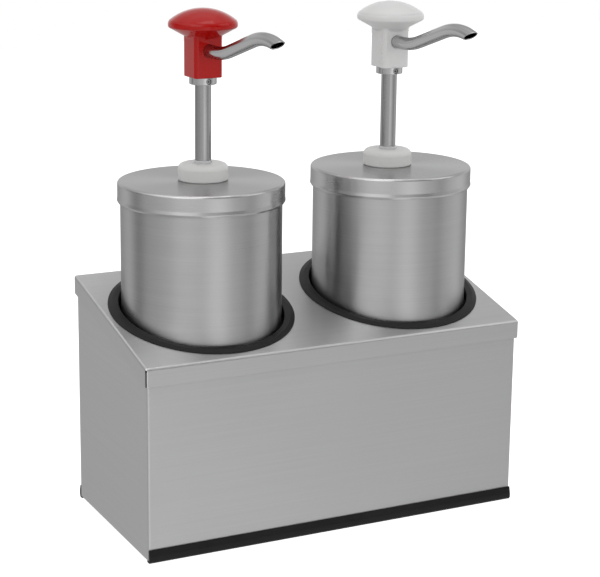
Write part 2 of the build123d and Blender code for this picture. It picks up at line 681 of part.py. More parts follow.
def stop_collar():
    top = HEAD_FOOT_Z
    ring = turned(
        (STEM_R, STOP_COLLAR_Z), (STOP_COLLAR_R, STOP_COLLAR_Z), (STOP_COLLAR_R, top), (STEM_R, top),
        rounds=(((STOP_COLLAR_R, STOP_COLLAR_Z), 0.6),),
    )
    return ring - set_screw_bore()


def set_screw_bore():
    middle = (STOP_COLLAR_Z + HEAD_FOOT_Z) / 2
    return Pos(0, -STEM_R - STOP_COLLAR_R / 2, middle) * Rot(X=90) * Cylinder(SET_SCREW_R, STOP_COLLAR_R)


def set_screw():
    """A hexagon-socket grub screw in the front of the stop collar, its tip on the stem."""
    start, end = STEM_R, STOP_COLLAR_R - SET_SCREW_SINK
    middle = (STOP_COLLAR_Z + HEAD_FOOT_Z) / 2
    facing = Plane(origin=(0, -end, middle), x_dir=(1, 0, 0), z_dir=(0, -1, 0))
    screw = facing * extrude(Circle(SET_SCREW_R), -(end - start))
    screw -= facing * extrude(RegularPolygon(SET_SCREW_SOCKET_R, 6), -SET_SCREW_SOCKET_DEPTH)
    return screw


def pump_head():
    """A mushroom palm button on a square block that carries the stem and the spout."""
    rim_low = HEAD_RIM_Z - HEAD_RIM_BOTTOM
    apex = HEAD_RIM_Z + HEAD_DOME_RISE
    cone_z = HEAD_RIM_Z - HEAD_CONE_DROP

    def on_dome(radius):
        return radius, apex - HEAD_DOME_R + (HEAD_DOME_R ** 2 - radius ** 2) ** 0.5

    edge = on_dome(HEAD_RIM_R)
    outline = Curve() + [
        ThreePointArc((0, apex), on_dome(HEAD_RIM_R / 2), edge),
        Line(edge, (HEAD_RIM_R, rim_low)),
        Line((HEAD_RIM_R, rim_low), (HEAD_CONE_R, cone_z)),
        Line((HEAD_CONE_R, cone_z), (0, cone_z)),
        Line((0, cone_z), (0, apex)),
    ]
    face = make_face(outline)
    top_corner = face.vertices().sort_by_distance((edge[0], edge[1], 0))[0]
    face = fillet(top_corner, HEAD_RIM_TOP_ROUND)
    low_corner = face.vertices().sort_by_distance((HEAD_RIM_R, rim_low, 0))[0]
    face = fillet(low_corner, HEAD_RIM_BOTTOM_ROUND)
    cap = revolve(Plane.XZ * face, Axis.Z)
    neck = Pos(0, 0, HEAD_FOOT_Z) * extrude(
        RectangleRounded(HEAD_BLOCK, HEAD_BLOCK, HEAD_BLOCK_ROUND), HEAD_RIM_Z - HEAD_FOOT_Z
    )
    neck = fillet(neck.faces().sort_by(Axis.Z)[0].edges(), HEAD_BLOCK_FOOT_ROUND)
    head = cap + neck
    head -= disc(STEM_R + HEAD_SOCKET_FIT, HEAD_FOOT_Z - 1, STEM_TOP_Z)
    head -= disc(HEAD_PASSAGE_R, STEM_TOP_Z - 1, SPOUT_Z + SPOUT_R / 2)
    socket = Rot(X=90) * Cylinder(SPOUT_R + SPOUT_FIT, HEAD_BLOCK)
    return head - Pos(0, HEAD_SOCKET_PAST - HEAD_BLOCK / 2, SPOUT_Z) * socket


def spout():
    """A steel tube: level out of the head, up a gentle rise, over a crest and down to a slanted mouth."""
    rise, fall = radians(SPOUT_RISE_ANGLE), radians(SPOUT_FALL_ANGLE)
    bends = SPOUT_LOWER_BEND * sin(rise) + SPOUT_UPPER_BEND * (sin(rise) + sin(fall))
    slope = (SPOUT_REACH - SPOUT_LEVEL_RUN - bends) / cos(rise)
    level = Line((SPOUT_ROOT, 0), (SPOUT_LEVEL_RUN, 0))
    lower = JernArc(level @ 1, level % 1, SPOUT_LOWER_BEND, SPOUT_RISE_ANGLE)
    climb = PolarLine(lower @ 1, slope, SPOUT_RISE_ANGLE)
    upper = JernArc(climb @ 1, climb % 1, SPOUT_UPPER_BEND, -SPOUT_RISE_ANGLE - SPOUT_FALL_ANGLE)
    spare = PolarLine(upper @ 1, SPOUT_MOUTH_SPARE, -SPOUT_FALL_ANGLE)
    mouth = upper @ 1
    front_plane = Plane(origin=(0, 0, SPOUT_Z), x_dir=(0, -1, 0), z_dir=(-1, 0, 0))
    path = front_plane * (Curve() + [level, lower, climb, upper, spare])
    start = Plane(origin=(0, -SPOUT_ROOT, SPOUT_Z), z_dir=(0, -1, 0))
    section = start * (Circle(SPOUT_R) - Circle(SPOUT_R - SPOUT_WALL))
    pipe = sweep(section, path.wire())
    down = radians(SPOUT_MOUTH_ANGLE)
    cut_plane = Plane(origin=(0, -mouth.X, SPOUT_Z + mouth.Y), z_dir=(0, -cos(down), -sin(down)))
    beyond = cut_plane * Pos(0, 0, 2 * SPOUT_R) * Box(8 * SPOUT_R, 8 * SPOUT_R, 4 * SPOUT_R)
    return pipe - beyond


# ---------------------------------------------------------------- rear controls
def panel_screw_places():
    x = PANEL_WIDTH / 2 - PANEL_SCREW_INSET
    z = PANEL_HEIGHT / 2 - PANEL_SCREW_INSET
    return [(side * x, PANEL_Z + end * z) for side in (-1, 1) for end in (-1, 1)]


def panel_screw_holes():
    hole = Circle(PANEL_SCREW_R + SCREW_HOLE_FIT)
    return [rearward(Pos(x, z) * hole, REAR_Y - 2 * SHEET, 4 * SHEET) for x, z in panel_screw_places()]


def panel_screws():
    screws = []
    for x, z in panel_screw_places():
        screw = rearward(Pos(x, z) * Circle(PANEL_SCREW_R), PANEL_OUTER_Y - PANEL_SCREW_LENGTH, PANEL_SCREW_LENGTH)
        screw += rearward(Pos(x, z) * Circle(PANEL_SCREW_HEAD_R), PANEL_OUTER_Y, PANEL_SCREW_HEAD)
        slot = Pos(x, z) * Rectangle(2 * PANEL_SCREW_HEAD_R, 0.8)
        screws.append(screw - rearward(slot, PANEL_OUTER_Y + PANEL_SCREW_HEAD / 2, PANEL_SCREW_HEAD))
    return screws


def switch_hole():
    return (
        ROCKER_WIDTH + 2 * ROCKER_GAP + 2 * SWITCH_WALL,
        ROCKER_HEIGHT + 2 * ROCKER_GAP + 2 * SWITCH_WALL,
    )


def control_panel():
    face = Pos(0, PANEL_Z) * RectangleRounded(PANEL_WIDTH, PANEL_HEIGHT, PANEL_ROUND)
    face -= Pos(KNOB_X, PANEL_Z) * Circle(THERMOSTAT_BUSH_R)
    face -= Pos(0, PANEL_Z) * Rectangle(*switch_hole())
    face -= Pos(INLET_X, PANEL_Z) * Rectangle(INLET_WIDTH, INLET_HEIGHT)
    return rearward(face, REAR_Y, SHEET) - panel_screw_holes()


def thermostat():
    """The thermostat's case behind the panel, with its bush through the panel."""
    case = block(
        (-THERMOSTAT_SIZE / 2, THERMOSTAT_SIZE / 2), (REAR_Y - THERMOSTAT_DEPTH, REAR_Y),
        (-THERMOSTAT_SIZE / 2, THERMOSTAT_SIZE / 2),
    )
    case = chamfer(case.edges().filter_by(Axis.Y), 4)
    case += rearward(Circle(THERMOSTAT_BUSH_R), REAR_Y - 1, SHEET + 1)
    for x in (-8, 8):
        case += block((x - 3, x + 3), (REAR_Y - THERMOSTAT_DEPTH - 7, REAR_Y - THERMOSTAT_DEPTH), (-0.4, 0.4))
    bore = Circle(THERMOSTAT_SHAFT_R + RUNNING_FIT)
    case -= rearward(bore, REAR_Y - THERMOSTAT_SHAFT_IN, THERMOSTAT_SHAFT_IN + 2 * SHEET)
    return Pos(KNOB_X, 0, PANEL_Z) * case


def thermostat_shaft():
    start = REAR_Y - THERMOSTAT_SHAFT_IN + RUNNING_FIT
    round_end = PANEL_OUTER_Y + KNOB_GAP
    shaft = rearward(Circle(THERMOSTAT_SHAFT_R), start, round_end - start)
    shaft += rearward(shaft_section(0), round_end, THERMOSTAT_SHAFT_OUT - KNOB_GAP)
    return Pos(KNOB_X, 0, PANEL_Z) * shaft


def shaft_section(gap):
    """The shaft's round section with one flat, widened by a gap."""
    radius = THERMOSTAT_SHAFT_R + gap
    flat_z = THERMOSTAT_SHAFT_R - THERMOSTAT_SHAFT_FLAT + gap
    return Circle(radius) - Pos(0, flat_z + radius) * Rectangle(4 * radius, 2 * radius)


def thermostat_knob():
    start = PANEL_OUTER_Y + KNOB_GAP
    knob = rearward(Circle(KNOB_SKIRT_R), start, KNOB_SKIRT)
    grip = Circle(KNOB_R) - PolarLocations(KNOB_R + KNOB_FLUTE_R / 2, KNOB_FLUTES) * Circle(KNOB_FLUTE_R)
    knob += rearward(grip, start + KNOB_SKIRT, KNOB_HEIGHT - KNOB_SKIRT)
    knob -= rearward(shaft_section(RUNNING_FIT), start - 1, THERMOSTAT_SHAFT_OUT - KNOB_GAP + 1 + RUNNING_FIT)
    pointer = Pos(0, KNOB_R * 0.6) * Rectangle(1.6, KNOB_R * 0.7)
    knob -= rearward(pointer, start + KNOB_HEIGHT - 1, 2)
    return Pos(KNOB_X, 0, PANEL_Z) * knob


def rocker_switch():
    """The switch body: a case with a bezel, open to the rear, with pivot holes for the rocker's pins."""
    hole_w, hole_h = switch_hole()
    case = rearward(Rectangle(hole_w, hole_h), PANEL_OUTER_Y - SWITCH_DEPTH, SWITCH_DEPTH)
    bezel = RectangleRounded(hole_w + 2 * SWITCH_BEZEL_LAP, hole_h + 2 * SWITCH_BEZEL_LAP, 1.5)
    case += rearward(bezel, PANEL_OUTER_Y, SWITCH_BEZEL)
    well_depth = ROCKER_DEPTH + 2 * ROCKER_GAP + 1.5
    mouth_y = PANEL_OUTER_Y + SWITCH_BEZEL
    opening = Rectangle(ROCKER_WIDTH + 2 * ROCKER_GAP, ROCKER_HEIGHT + 2 * ROCKER_GAP)
    case -= rearward(opening, mouth_y - well_depth, well_depth + 1)
    pin_length = ROCKER_WIDTH + 2 * ROCKER_PIN_LENGTH + 2 * ROCKER_GAP
    case -= Pos(0, rocker_axis_y(), 0) * Rot(Y=90) * Cylinder(ROCKER_PIN_R + RUNNING_FIT, pin_length)
    return Pos(0, 0, PANEL_Z) * case


def rocker_axis_y():
    return PANEL_OUTER_Y + SWITCH_BEZEL - ROCKER_DEPTH / 2


def rocker():
    """A rocker with two flats that meet over its pivot, pressed down at its lower end at rest."""
    half, slope = ROCKER_HEIGHT / 2 - 0.4, tan(radians(ROCKER_TILT))
    crest = ROCKER_DEPTH / 2 + ROCKER_PROUD / 2
    outline = (
        (-ROCKER_DEPTH / 2 + 0.6, -half * 0.6), (crest + half * slope, -half), (crest, 0),
        (crest + half * slope, half), (-ROCKER_DEPTH / 2 + 0.6, half * 0.6),
    )
    body = across(outline, ROCKER_WIDTH / 2)
    pin = Rot(Y=90) * Cylinder(ROCKER_PIN_R, ROCKER_WIDTH + 2 * ROCKER_PIN_LENGTH)
    return Pos(0, rocker_axis_y(), PANEL_Z) * (Rot(X=-ROCKER_TILT) * (body + pin))


def power_inlet():
    def octagon(width, height):
        cut = INLET_CORNER_CUT
        return make_face(Polyline(
            (-width / 2, -height / 2), (width / 2, -height / 2), (width / 2, height / 2 - cut),
            (width / 2 - cut, height / 2), (-width / 2 + cut, height / 2), (-width / 2, height / 2 - cut),
            close=True,
        ))

    inlet = rearward(Rectangle(INLET_WIDTH, INLET_HEIGHT), PANEL_OUTER_Y - INLET_DEPTH, INLET_DEPTH)
    bezel = RectangleRounded(INLET_WIDTH + 2 * INLET_BEZEL_LAP, INLET_HEIGHT + 2 * INLET_BEZEL_LAP, 2)
    inlet += rearward(bezel, PANEL_OUTER_Y, INLET_BEZEL)
    mouth_y = PANEL_OUTER_Y + INLET_BEZEL
    cavity = octagon(INLET_CAVITY_WIDTH, INLET_CAVITY_HEIGHT)
    inlet -= rearward(cavity, mouth_y - INLET_CAVITY_DEPTH, INLET_CAVITY_DEPTH + 1)
    for step, rise in ((-1, 0), (0, INLET_EARTH_RISE), (1, 0)):
        pin = Pos(step * INLET_PIN_PITCH, rise) * Rectangle(INLET_PIN_THICKNESS, INLET_PIN_WIDTH)
        inlet += rearward(pin, mouth_y - INLET_CAVITY_DEPTH - 1, INLET_PIN_LENGTH + 1)
    return Pos(INLET_X, 0, PANEL_Z) * inlet


def terminal_block():
    bottom = SHELL_BOTTOM + 2 * SHEET
    top = bottom + BLOCK_HEIGHT
    body = block((-BLOCK_LENGTH / 2, BLOCK_LENGTH / 2), (-BLOCK_WIDTH / 2, BLOCK_WIDTH / 2), (bottom, top))
    for x in [place.position.X for place in GridLocations(BLOCK_LENGTH / BLOCK_WAYS, 1, BLOCK_WAYS, 1)]:
        body -= Pos(x, 0, bottom + BLOCK_HEIGHT * 0.4) * Rot(X=90) * Cylinder(BLOCK_WIRE_R, 2 * BLOCK_WIDTH)
        body -= Pos(x, 0, 0) * disc(BLOCK_SCREW_R, top - BLOCK_SCREW_DEPTH, top + 1)
    return Pos(0, MIDDLE_Y, 0) * body


# ---------------------------------------------------------------- the whole
def housing_nodes():
    return {
        "outer_shell": outer_shell(),
        "top_deck": top_deck(),
        "base_plate": base_plate(),
        "base_screws": base_screws(),
        "front_foot_strip": foot_strip(-1),
        "rear_foot_strip": foot_strip(1),
        "control_panel": control_panel(),
        "panel_screws": panel_screws(),
        "thermostat": thermostat(),
        "thermostat_shaft": thermostat_shaft(),
        "thermostat_knob": thermostat_knob(),
        "rocker_switch": rocker_switch(),
        "rocker": rocker(),
        "power_inlet": power_inlet(),
        "terminal_block": terminal_block(),
    }


def jar_nodes(name, side):
    """What stands about one jar's axis."""
    centre = Pos(side * JAR_SPACING / 2, JAR_Y, 0)
    return {
        f"{name}_well": (centre * well()) & under_deck(SHEET),
        f"{name}_well_ring": well_ring(side),
        f"{name}_heater": centre * heater(),
        f"{name}_insulation": centre * insulation(),
        f"{name}_thermal_cutout": centre * thermal_cutout(),
        f"{name}_jar": centre * jar(),
        f"{name}_jar_lid": centre * jar_lid(side),
    }


def pump_nodes(name, side):
    """What stands about one pump's axis."""
    axis = Pos(side * (JAR_SPACING / 2 - PUMP_INSET), PUMP_Y, 0)
    plunger = axis * Rot(Z=HEAD_TURN[name])
    return {
        f"{name}_pump_collar": axis * collar(),
        f"{name}_stem_wiper": axis * stem_wiper(),
        f"{name}_cylinder": axis * cylinder(),
        f"{name}_foot_valve": axis * foot_valve(),
        f"{name}_intake_ball": axis * ball(INTAKE_BALL_R, INTAKE_BALL_Z),
        f"{name}_return_spring": axis * return_spring(),
        f"{name}_stem": plunger * stem(),
        f"{name}_piston": plunger * piston(),
        f"{name}_piston_seal": plunger * piston_seal(),
        f"{name}_discharge_ball": plunger * ball(DISCHARGE_BALL_R, DISCHARGE_BALL_Z),
        f"{name}_stop_collar": plunger * stop_collar(),
        f"{name}_set_screw": plunger * set_screw(),
        f"{name}_pump_head": plunger * pump_head(),
        f"{name}_spout": plunger * spout(),
    }


def main():
    nodes = housing_nodes()
    for name, side in SIDES.items():
        nodes.update(jar_nodes(name, side))
        nodes.update(pump_nodes(name, side))
    nodes["heater_nuts"] = [Pos(side * JAR_SPACING / 2, JAR_Y, 0) * heater_nut() for side in SIDES.values()]
    os.makedirs("parts", exist_ok=True)
    for name, shape in nodes.items():
        if isinstance(shape, list):
            shape = Compound(children=[piece.solid() for piece in shape])
        export_step(shape, f"parts/{name}.step")


main()
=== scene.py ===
"""The looks of a twin pump topping warmer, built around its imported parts. Metres, +Z up, the front faces -Y."""
from math import asin, atan2, copysign, cos, hypot, pi, radians, sin, sqrt, tan

import bmesh
import bpy
from mathutils import Matrix, Vector


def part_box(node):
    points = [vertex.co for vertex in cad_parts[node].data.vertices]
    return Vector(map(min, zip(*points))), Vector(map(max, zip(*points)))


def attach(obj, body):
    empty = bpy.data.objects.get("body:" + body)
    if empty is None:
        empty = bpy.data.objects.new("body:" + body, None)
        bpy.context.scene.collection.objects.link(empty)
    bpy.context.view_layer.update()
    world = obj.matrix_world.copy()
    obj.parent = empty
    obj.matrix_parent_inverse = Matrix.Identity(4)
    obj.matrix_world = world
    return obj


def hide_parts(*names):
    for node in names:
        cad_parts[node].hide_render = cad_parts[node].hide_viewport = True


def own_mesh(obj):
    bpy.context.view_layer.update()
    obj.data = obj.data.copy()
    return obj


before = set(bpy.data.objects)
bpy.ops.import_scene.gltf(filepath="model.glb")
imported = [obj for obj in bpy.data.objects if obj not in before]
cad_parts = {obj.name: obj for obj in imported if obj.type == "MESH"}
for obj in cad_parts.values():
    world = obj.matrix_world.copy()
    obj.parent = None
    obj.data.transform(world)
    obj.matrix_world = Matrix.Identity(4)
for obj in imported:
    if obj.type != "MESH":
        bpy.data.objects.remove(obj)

bl_info = {
    "name": "Twin Pump Topping Warmer",
    "version": (1, 0, 0),
    "blender": (4, 5, 0),
    "location": "3D View > Sidebar > Warmer",
    "description": "Builds the finished surfaces of a twin pump topping warmer around its packed parts",
    "category": "Object",
}

MM = 0.001
SIDES = ("left", "right")
STEM_FIT = 0.05 * MM
# Vertices nearer than this are one.
SAME_PLACE = 1e-6
# How far each pump head stands turned from straight ahead.
HEAD_TURN = {"left": radians(1.5), "right": radians(-0.9)}
# Nodes whose right copy stands as far from the left one as another node's does.
COPIED_WITH = {"spout": "stop_collar", "set_screw": "stop_collar", "stem_wiper": "pump_collar"}
# A direction counts as upright from this share on.
UPRIGHT = 0.9
# Segments of a large circle, of a sheet's bend and of a rounded edge.
FINE_STEPS, BEND_STEPS, EDGE_STEPS = 160, 7, 4
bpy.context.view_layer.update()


# ---------------------------------------------------------------- sizes, colours and stage
def length(name, description, default):
    """A size, given in millimetres and kept in metres."""
    return bpy.props.FloatProperty(
        name=name, description=description, default=default * MM, min=0.0, precision=5, unit="LENGTH"
    )


def slope(name, description, default):
    """An angle given in degrees."""
    return bpy.props.FloatProperty(name=name, description=description, default=radians(default), unit="ROTATION")


def colour(name, description, default):
    return bpy.props.FloatVectorProperty(
        name=name, description=description, default=default, min=0.0, max=1.0, size=3, subtype="COLOR"
    )


def share(name, description, default):
    return bpy.props.FloatProperty(
        name=name, description=description, default=default, min=0.0, max=1.0, subtype="FACTOR"
    )


class WarmerSizes(bpy.types.PropertyGroup):
    sheet: length("Sheet", "Thickness of the deck's sheet", 1.2)
    deck_flange: length("Deck flange", "Height of the deck's turned down edge", 18.7)
    deck_rise: length("Deck rise", "How much higher the deck's rear edge is than its front edge", 46.0)
    deck_bend: length("Deck bend", "Outer radius of the deck's bends", 2.5)
    seam: length("Deck seam", "Width of the open seam at each corner of the deck", 1.3)
    well_radius: length("Well radius", "Radius of the deck's holes", 88.0)
    ring_edge: length("Ring edge", "Height of the rubber ring's outer edge", 1.0)
    ring_bevel: length("Ring bevel", "Width of the rubber ring's sloping rim", 4.3)
    ring_thickness: length("Ring thickness", "Thickness of the rubber ring on the deck", 2.6)
    ring_neck: length("Ring neck", "How far the rubber ring reaches down through the deck", 8.0)
    ring_round: length("Ring round", "Radius of the rubber ring's inner edge", 1.3)
    jar_wall: length("Jar wall", "Thickness of the drawn jar", 1.0)
    jar_corner: length("Jar corner", "Outer radius where the jar's wall meets its floor", 6.0)
    jar_rim_roll: length("Jar rim roll", "How far the rolled rim stands proud of the jar's wall", 0.7)
    lid_sheet: length("Lid sheet", "Thickness of the lid's sheet", 0.9)
    lid_bend: length("Lid bend", "Outer radius between the lid's top and its skirt", 2.6)
    lid_flare: length("Lid flare", "How far the bead at the skirt's lower edge stands out", 0.4)
    lid_flare_height: length("Lid flare height", "Height at which the skirt starts to swell into the bead", 5.5)
    lid_curl: length("Lid curl", "How far the bead curls back inwards at its foot", 1.4)
    collar_round: length("Collar round", "Radius of the nylon collar's upper edge", 6.0)
    collar_foot_round: length("Collar foot round", "Radius of the nylon collar's lower edge", 2.0)
    stem_radius: length("Stem radius", "Outer radius of the pump's stem", 8.0)
    stem_bore: length("Stem bore", "Inner radius of the pump's stem", 6.0)
    head_block: length("Head block", "Width of the square block under the palm button", 29.6)
    head_block_round: length("Head block round", "Radius of the block's upright edges", 4.0)
    head_cone: length("Palm button cone", "Radius at which the cone under the palm button starts", 13.0)
    head_cone_drop: length("Cone drop", "From the top of the palm button down to the foot of its cone", 29.6)
    head_rim: length("Palm button radius", "Radius of the palm button's rim", 33.8)
    head_rim_drop: length("Rim drop", "From the top of the palm button down to the foot of its rim", 18.3)
    head_dome: length("Palm button dome", "Radius of the palm button's domed top", 51.0)
    spout_height: length("Spout height", "Height of the spout's root above the foot of the head", 26.5)
    spout_radius: length("Spout radius", "Outer radius of the bent spout", 6.35)
    spout_wall: length("Spout wall", "Thickness of the spout's wall", 1.0)
    spout_level_run: length("Spout level run", "Length of the spout's level part from the pump's axis", 28.0)
    spout_reach: length("Spout reach", "Distance from the pump's axis to the middle of the mouth", 156.0)
    spout_lower_bend: length("Spout lower bend", "Radius of the spout's first bend", 110.0)
    spout_upper_bend: length("Spout upper bend", "Radius of the spout's second bend", 88.0)
    spout_rise: slope("Spout rise", "Climb of the spout's straight part", 17.0)
    spout_fall: slope("Spout fall", "Fall of the spout at its mouth", 14.5)
    mouth_slant: slope("Mouth slant", "How far below level the spout's mouth faces", 58.0)
    spring_wire: length("Spring wire", "Radius of the return spring's wire", 1.0)
    spring_coil: length("Spring coil", "Mean radius of the return spring's coils", 9.8)


class WarmerFinishes(bpy.types.PropertyGroup):
    sheet_steel: colour("Sheet steel", "Brushed stainless sheet of the body and deck", (0.69, 0.69, 0.693))
    drawn_steel: colour("Drawn steel", "Brushed stainless of the jars", (0.56, 0.56, 0.562))
    lid_steel: colour("Lid steel", "Brushed stainless of the lids", (0.62, 0.62, 0.622))
    tube_steel: colour("Tube steel", "Satin stainless of the spouts and stop collars", (0.60, 0.60, 0.602))
    stem_steel: colour("Stem steel", "Ground stainless of the stems", (0.46, 0.46, 0.462))
    red: colour("Red plastic", "The left pump head", (0.45, 0.005, 0.0035))
    white: colour("White plastic", "The right pump head", (0.74, 0.74, 0.735))
    nylon: colour("Nylon", "The collars that clamp the pumps", (0.69, 0.69, 0.68))
    rubber: colour("Black rubber", "Foot strips and well rings", (0.012, 0.012, 0.012))
    steel_roughness: share("Steel roughness", "Roughness of the brushed steel", 0.38)
    steel_anisotropy: share("Steel anisotropy", "How much the brushing stretches reflections", 0.7)


class WarmerStage(bpy.types.PropertyGroup):
    lens: bpy.props.FloatProperty(
        name="Lens", description="Focal length for a 36 mm wide sensor", default=105.02, unit="CAMERA"
    )
    camera_place: bpy.props.FloatVectorProperty(
        name="Camera place", description="Where the camera stands", default=(-0.78295, -1.45371, 0.67752), unit="LENGTH"
    )
    camera_turn: bpy.props.FloatVectorProperty(
        name="Camera turn", description="Yaw, pitch and roll of the camera",
        default=(radians(-26.007), radians(12.99), radians(0.472)), unit="ROTATION",
    )
    camera_shift: bpy.props.FloatVectorProperty(
        name="Camera shift", description="Sideways and upward shift of the frame", default=(0.0438, -0.08), size=2
    )
    lamp_level: bpy.props.FloatProperty(
        name="Lamp level", description="Brightness of the soft lamps' faces", default=1.0, min=0.0
    )
    room_light: share("Room light", "Even light that the room sends to matt surfaces", 0.68)
    floor_glow: share("Floor glow", "Light that the floor adds where it is seen", 0.72)
    floor_colour: colour("Floor", "Colour of the floor", (0.82, 0.82, 0.82))


# ---------------------------------------------------------------- modelling helpers
def centre_of(node):
    low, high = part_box(node)
    return (low.x + high.x) / 2, (low.y + high.y) / 2


def leave_editing():
    if bpy.context.object and bpy.context.object.mode != "OBJECT":
        bpy.ops.object.mode_set(mode="OBJECT")


def deselect_all():
    leave_editing()
    bpy.ops.object.select_all(action="DESELECT")


def pick(piece):
    """Makes one object the only selected and active one."""
    deselect_all()
    piece.select_set(True)
    bpy.context.view_layer.objects.active = piece


def edit(piece):
    """Opens a piece in edit mode with everything selected."""
    pick(piece)
    bpy.ops.object.mode_set(mode="EDIT")
    bpy.ops.mesh.select_all(action="SELECT")


def choose(piece, kind, test):
    """In edit mode, selects only the vertices, edges or faces that pass a test of their middle and normal."""
    bpy.ops.mesh.select_all(action="DESELECT")
    bpy.ops.mesh.select_mode(type={"verts": "VERT", "edges": "EDGE", "faces": "FACE"}[kind])
    mesh = bmesh.from_edit_mesh(piece.data)
    for part in getattr(mesh, kind):
        if kind == "verts":
            middle, normal = part.co, part.normal
        elif kind == "edges":
            middle, normal = (part.verts[0].co + part.verts[1].co) / 2, part.verts[1].co - part.verts[0].co
        else:
            middle, normal = part.calc_center_median(), part.normal
        part.select_set(test(middle, normal))
    mesh.select_flush_mode()
    bmesh.update_edit_mesh(piece.data)


def bevel_edges(piece, test, width, segments):
    """Rounds the edges that pass a test."""
    edit(piece)
    choose(piece, "edges", test)
    bpy.ops.mesh.bevel(offset=width, segments=segments)
    leave_editing()


def clean_up():
    """In edit mode, merges doubles and turns all faces outwards."""
    bpy.ops.mesh.select_all(action="SELECT")
    bpy.ops.mesh.remove_doubles(threshold=SAME_PLACE)
    bpy.ops.mesh.normals_make_consistent(inside=False)


def apply_place(piece):
    pick(piece)
    bpy.ops.object.transform_apply(location=True, rotation=True, scale=True)
    return piece


def apply_modifier(piece, kind, **settings):
    pick(piece)
    modifier = piece.modifiers.new(kind.title(), kind)
    for name, value in settings.items():
        setattr(modifier, name, value)
    bpy.ops.object.modifier_apply(modifier=modifier.name)
    return piece


def break_edges(piece, width, angle):
    """Takes the sharpness off all edges that turn by more than an angle."""
    apply_modifier(piece, "BEVEL", width=width, segments=2, limit_method="ANGLE", angle_limit=radians(angle))


def rounded(points, rounds, steps=6):
    """An outline with arcs of the given radii at its numbered corners."""
    outline = []
    for number, point in enumerate(points):
        radius = rounds.get(number)
        corner = Vector(point)
        if not radius:
            outline.append(corner)
            continue
        back = (Vector(points[number - 1]) - corner).normalized()
        ahead = (Vector(points[(number + 1) % len(points)]) - corner).normalized()
        half = back.angle(ahead) / 2
        middle = corner + (back + ahead).normalized() * radius / sin(half)
        first = (corner + back * radius / tan(half) - middle).normalized()
        last = (corner + ahead * radius / tan(half) - middle).normalized()
        outline += [middle + first.slerp(last, step / steps) * radius for step in range(steps + 1)]
    return outline


def turned(outline, centre, steps=96):
    """Spins an (r, z) outline about the upright axis through centre."""
    deselect_all()
    x, y = centre
    start = outline[0]
    bpy.ops.mesh.primitive_plane_add(size=MM, location=(x + start[0], y, start[1]))
    piece = bpy.context.object
    bpy.ops.object.mode_set(mode="EDIT")
    bpy.ops.mesh.select_mode(type="VERT")
    bpy.ops.mesh.merge(type="CENTER")
    for before, after in zip(outline, outline[1:]):
        step = (after[0] - before[0], 0, after[1] - before[1])
        bpy.ops.mesh.extrude_vertices_move(TRANSFORM_OT_translate={"value": step})
    bpy.ops.mesh.select_all(action="SELECT")
    bpy.ops.mesh.spin(steps=steps, angle=2 * pi, center=(x, y, 0), axis=(0, 0, 1))
    clean_up()
    return apply_place(piece)


def rod(radius, start, end, vertices=48):
    """A round bar between two points, used as a cutter or a pin."""
    deselect_all()
    start, end = Vector(start), Vector(end)
    turn = (end - start).to_track_quat("Z", "Y").to_euler()
    bpy.ops.mesh.primitive_cylinder_add(
        vertices=vertices, radius=radius, depth=(end - start).length, location=(start + end) / 2, rotation=turn
    )
    return apply_place(bpy.context.object)


def block(middle, size, turn=0.0):
    """A rectangular block, turned about its upright axis."""
    deselect_all()
    bpy.ops.mesh.primitive_cube_add(size=1.0, location=middle, rotation=(0, 0, turn), scale=size)
    return apply_place(bpy.context.object)


def join(piece, *others):
    pick(piece)
    for other in others:
        other.select_set(True)
    bpy.ops.object.join()
    return piece


def cut(piece, cutter, operation="DIFFERENCE"):
    """Cuts or adds one piece with another, which is used up."""
    apply_modifier(piece, "BOOLEAN", operation=operation, object=cutter, solver="EXACT")
    bpy.data.objects.remove(cutter)
    return piece


def both_sides(piece, node):
    """The left piece with its side, then a copy with a mesh of its own, as far off as the right node is."""
    pick(piece)
    bpy.ops.object.duplicate(linked=False)
    bpy.ops.transform.translate(value=(centre_of(f"right_{node}")[0] - centre_of(f"left_{node}")[0], 0, 0))
    return list(zip(SIDES, (piece, apply_place(bpy.context.object))))


def turn_as_head(piece, side):
    """Turns a finished piece about its pump's axis to where that pump's head points."""
    centre = Vector((*centre_of(f"{side}_stop_collar"), 0))
    turn = Matrix.Rotation(HEAD_TURN[side], 4, "Z")
    piece.data.transform(Matrix.Translation(centre) @ turn @ Matrix.Translation(-centre))


def settle_both(piece, name, body, node, slot, finish, angle=30, pointing=False):
    """Settles a left piece and its copy on the left and right of the like bodies, in place of the like nodes."""
    for side, made in both_sides(piece, COPIED_WITH.get(node, node)):
        if pointing:
            turn_as_head(made, side)
        settle(made, f"{side}_{name}", f"{side}_{body}", [f"{side}_{node}"], slot, finish, angle)


def settle(piece, name, body, nodes, slot, finish, angle=30):
    """Names a piece, gives it its finish and hangs it on its body in place of the CAD nodes it stands for."""
    pick(piece)
    bpy.ops.object.shade_smooth_by_angle(angle=radians(angle))
    apply_modifier(piece, "WEIGHTED_NORMAL", keep_sharp=True)
    piece.name = name
    piece.data.name = name
    piece.data.materials.clear()
    piece.data.materials.append(worn(finish))
    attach(piece, body)
    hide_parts(*nodes)
    return piece


# ---------------------------------------------------------------- shader helpers
def feed(tree, node, inputs):
    """Links each input that is given as a socket, and sets any other."""
    for name, value in inputs.items():
        if isinstance(value, bpy.types.NodeSocket):
            tree.links.new(value, node.inputs[name])
        else:
            node.inputs[name].default_value = value


def add(tree, kind, inputs=None, **settings):
    made = tree.nodes.new(kind)
    for name, value in settings.items():
        setattr(made, name, value)
    feed(tree, made, inputs or {})
    return made


def figure(tree, operation, first, second=0.0, third=0.0):
    """A sum worked out by a Math node."""
    return add(tree, "ShaderNodeMath", {0: first, 1: second, 2: third}, operation=operation).outputs[0]


def vector(tree, x, y, z):
    return add(tree, "ShaderNodeCombineXYZ", {0: x, 1: y, 2: z}).outputs[0]


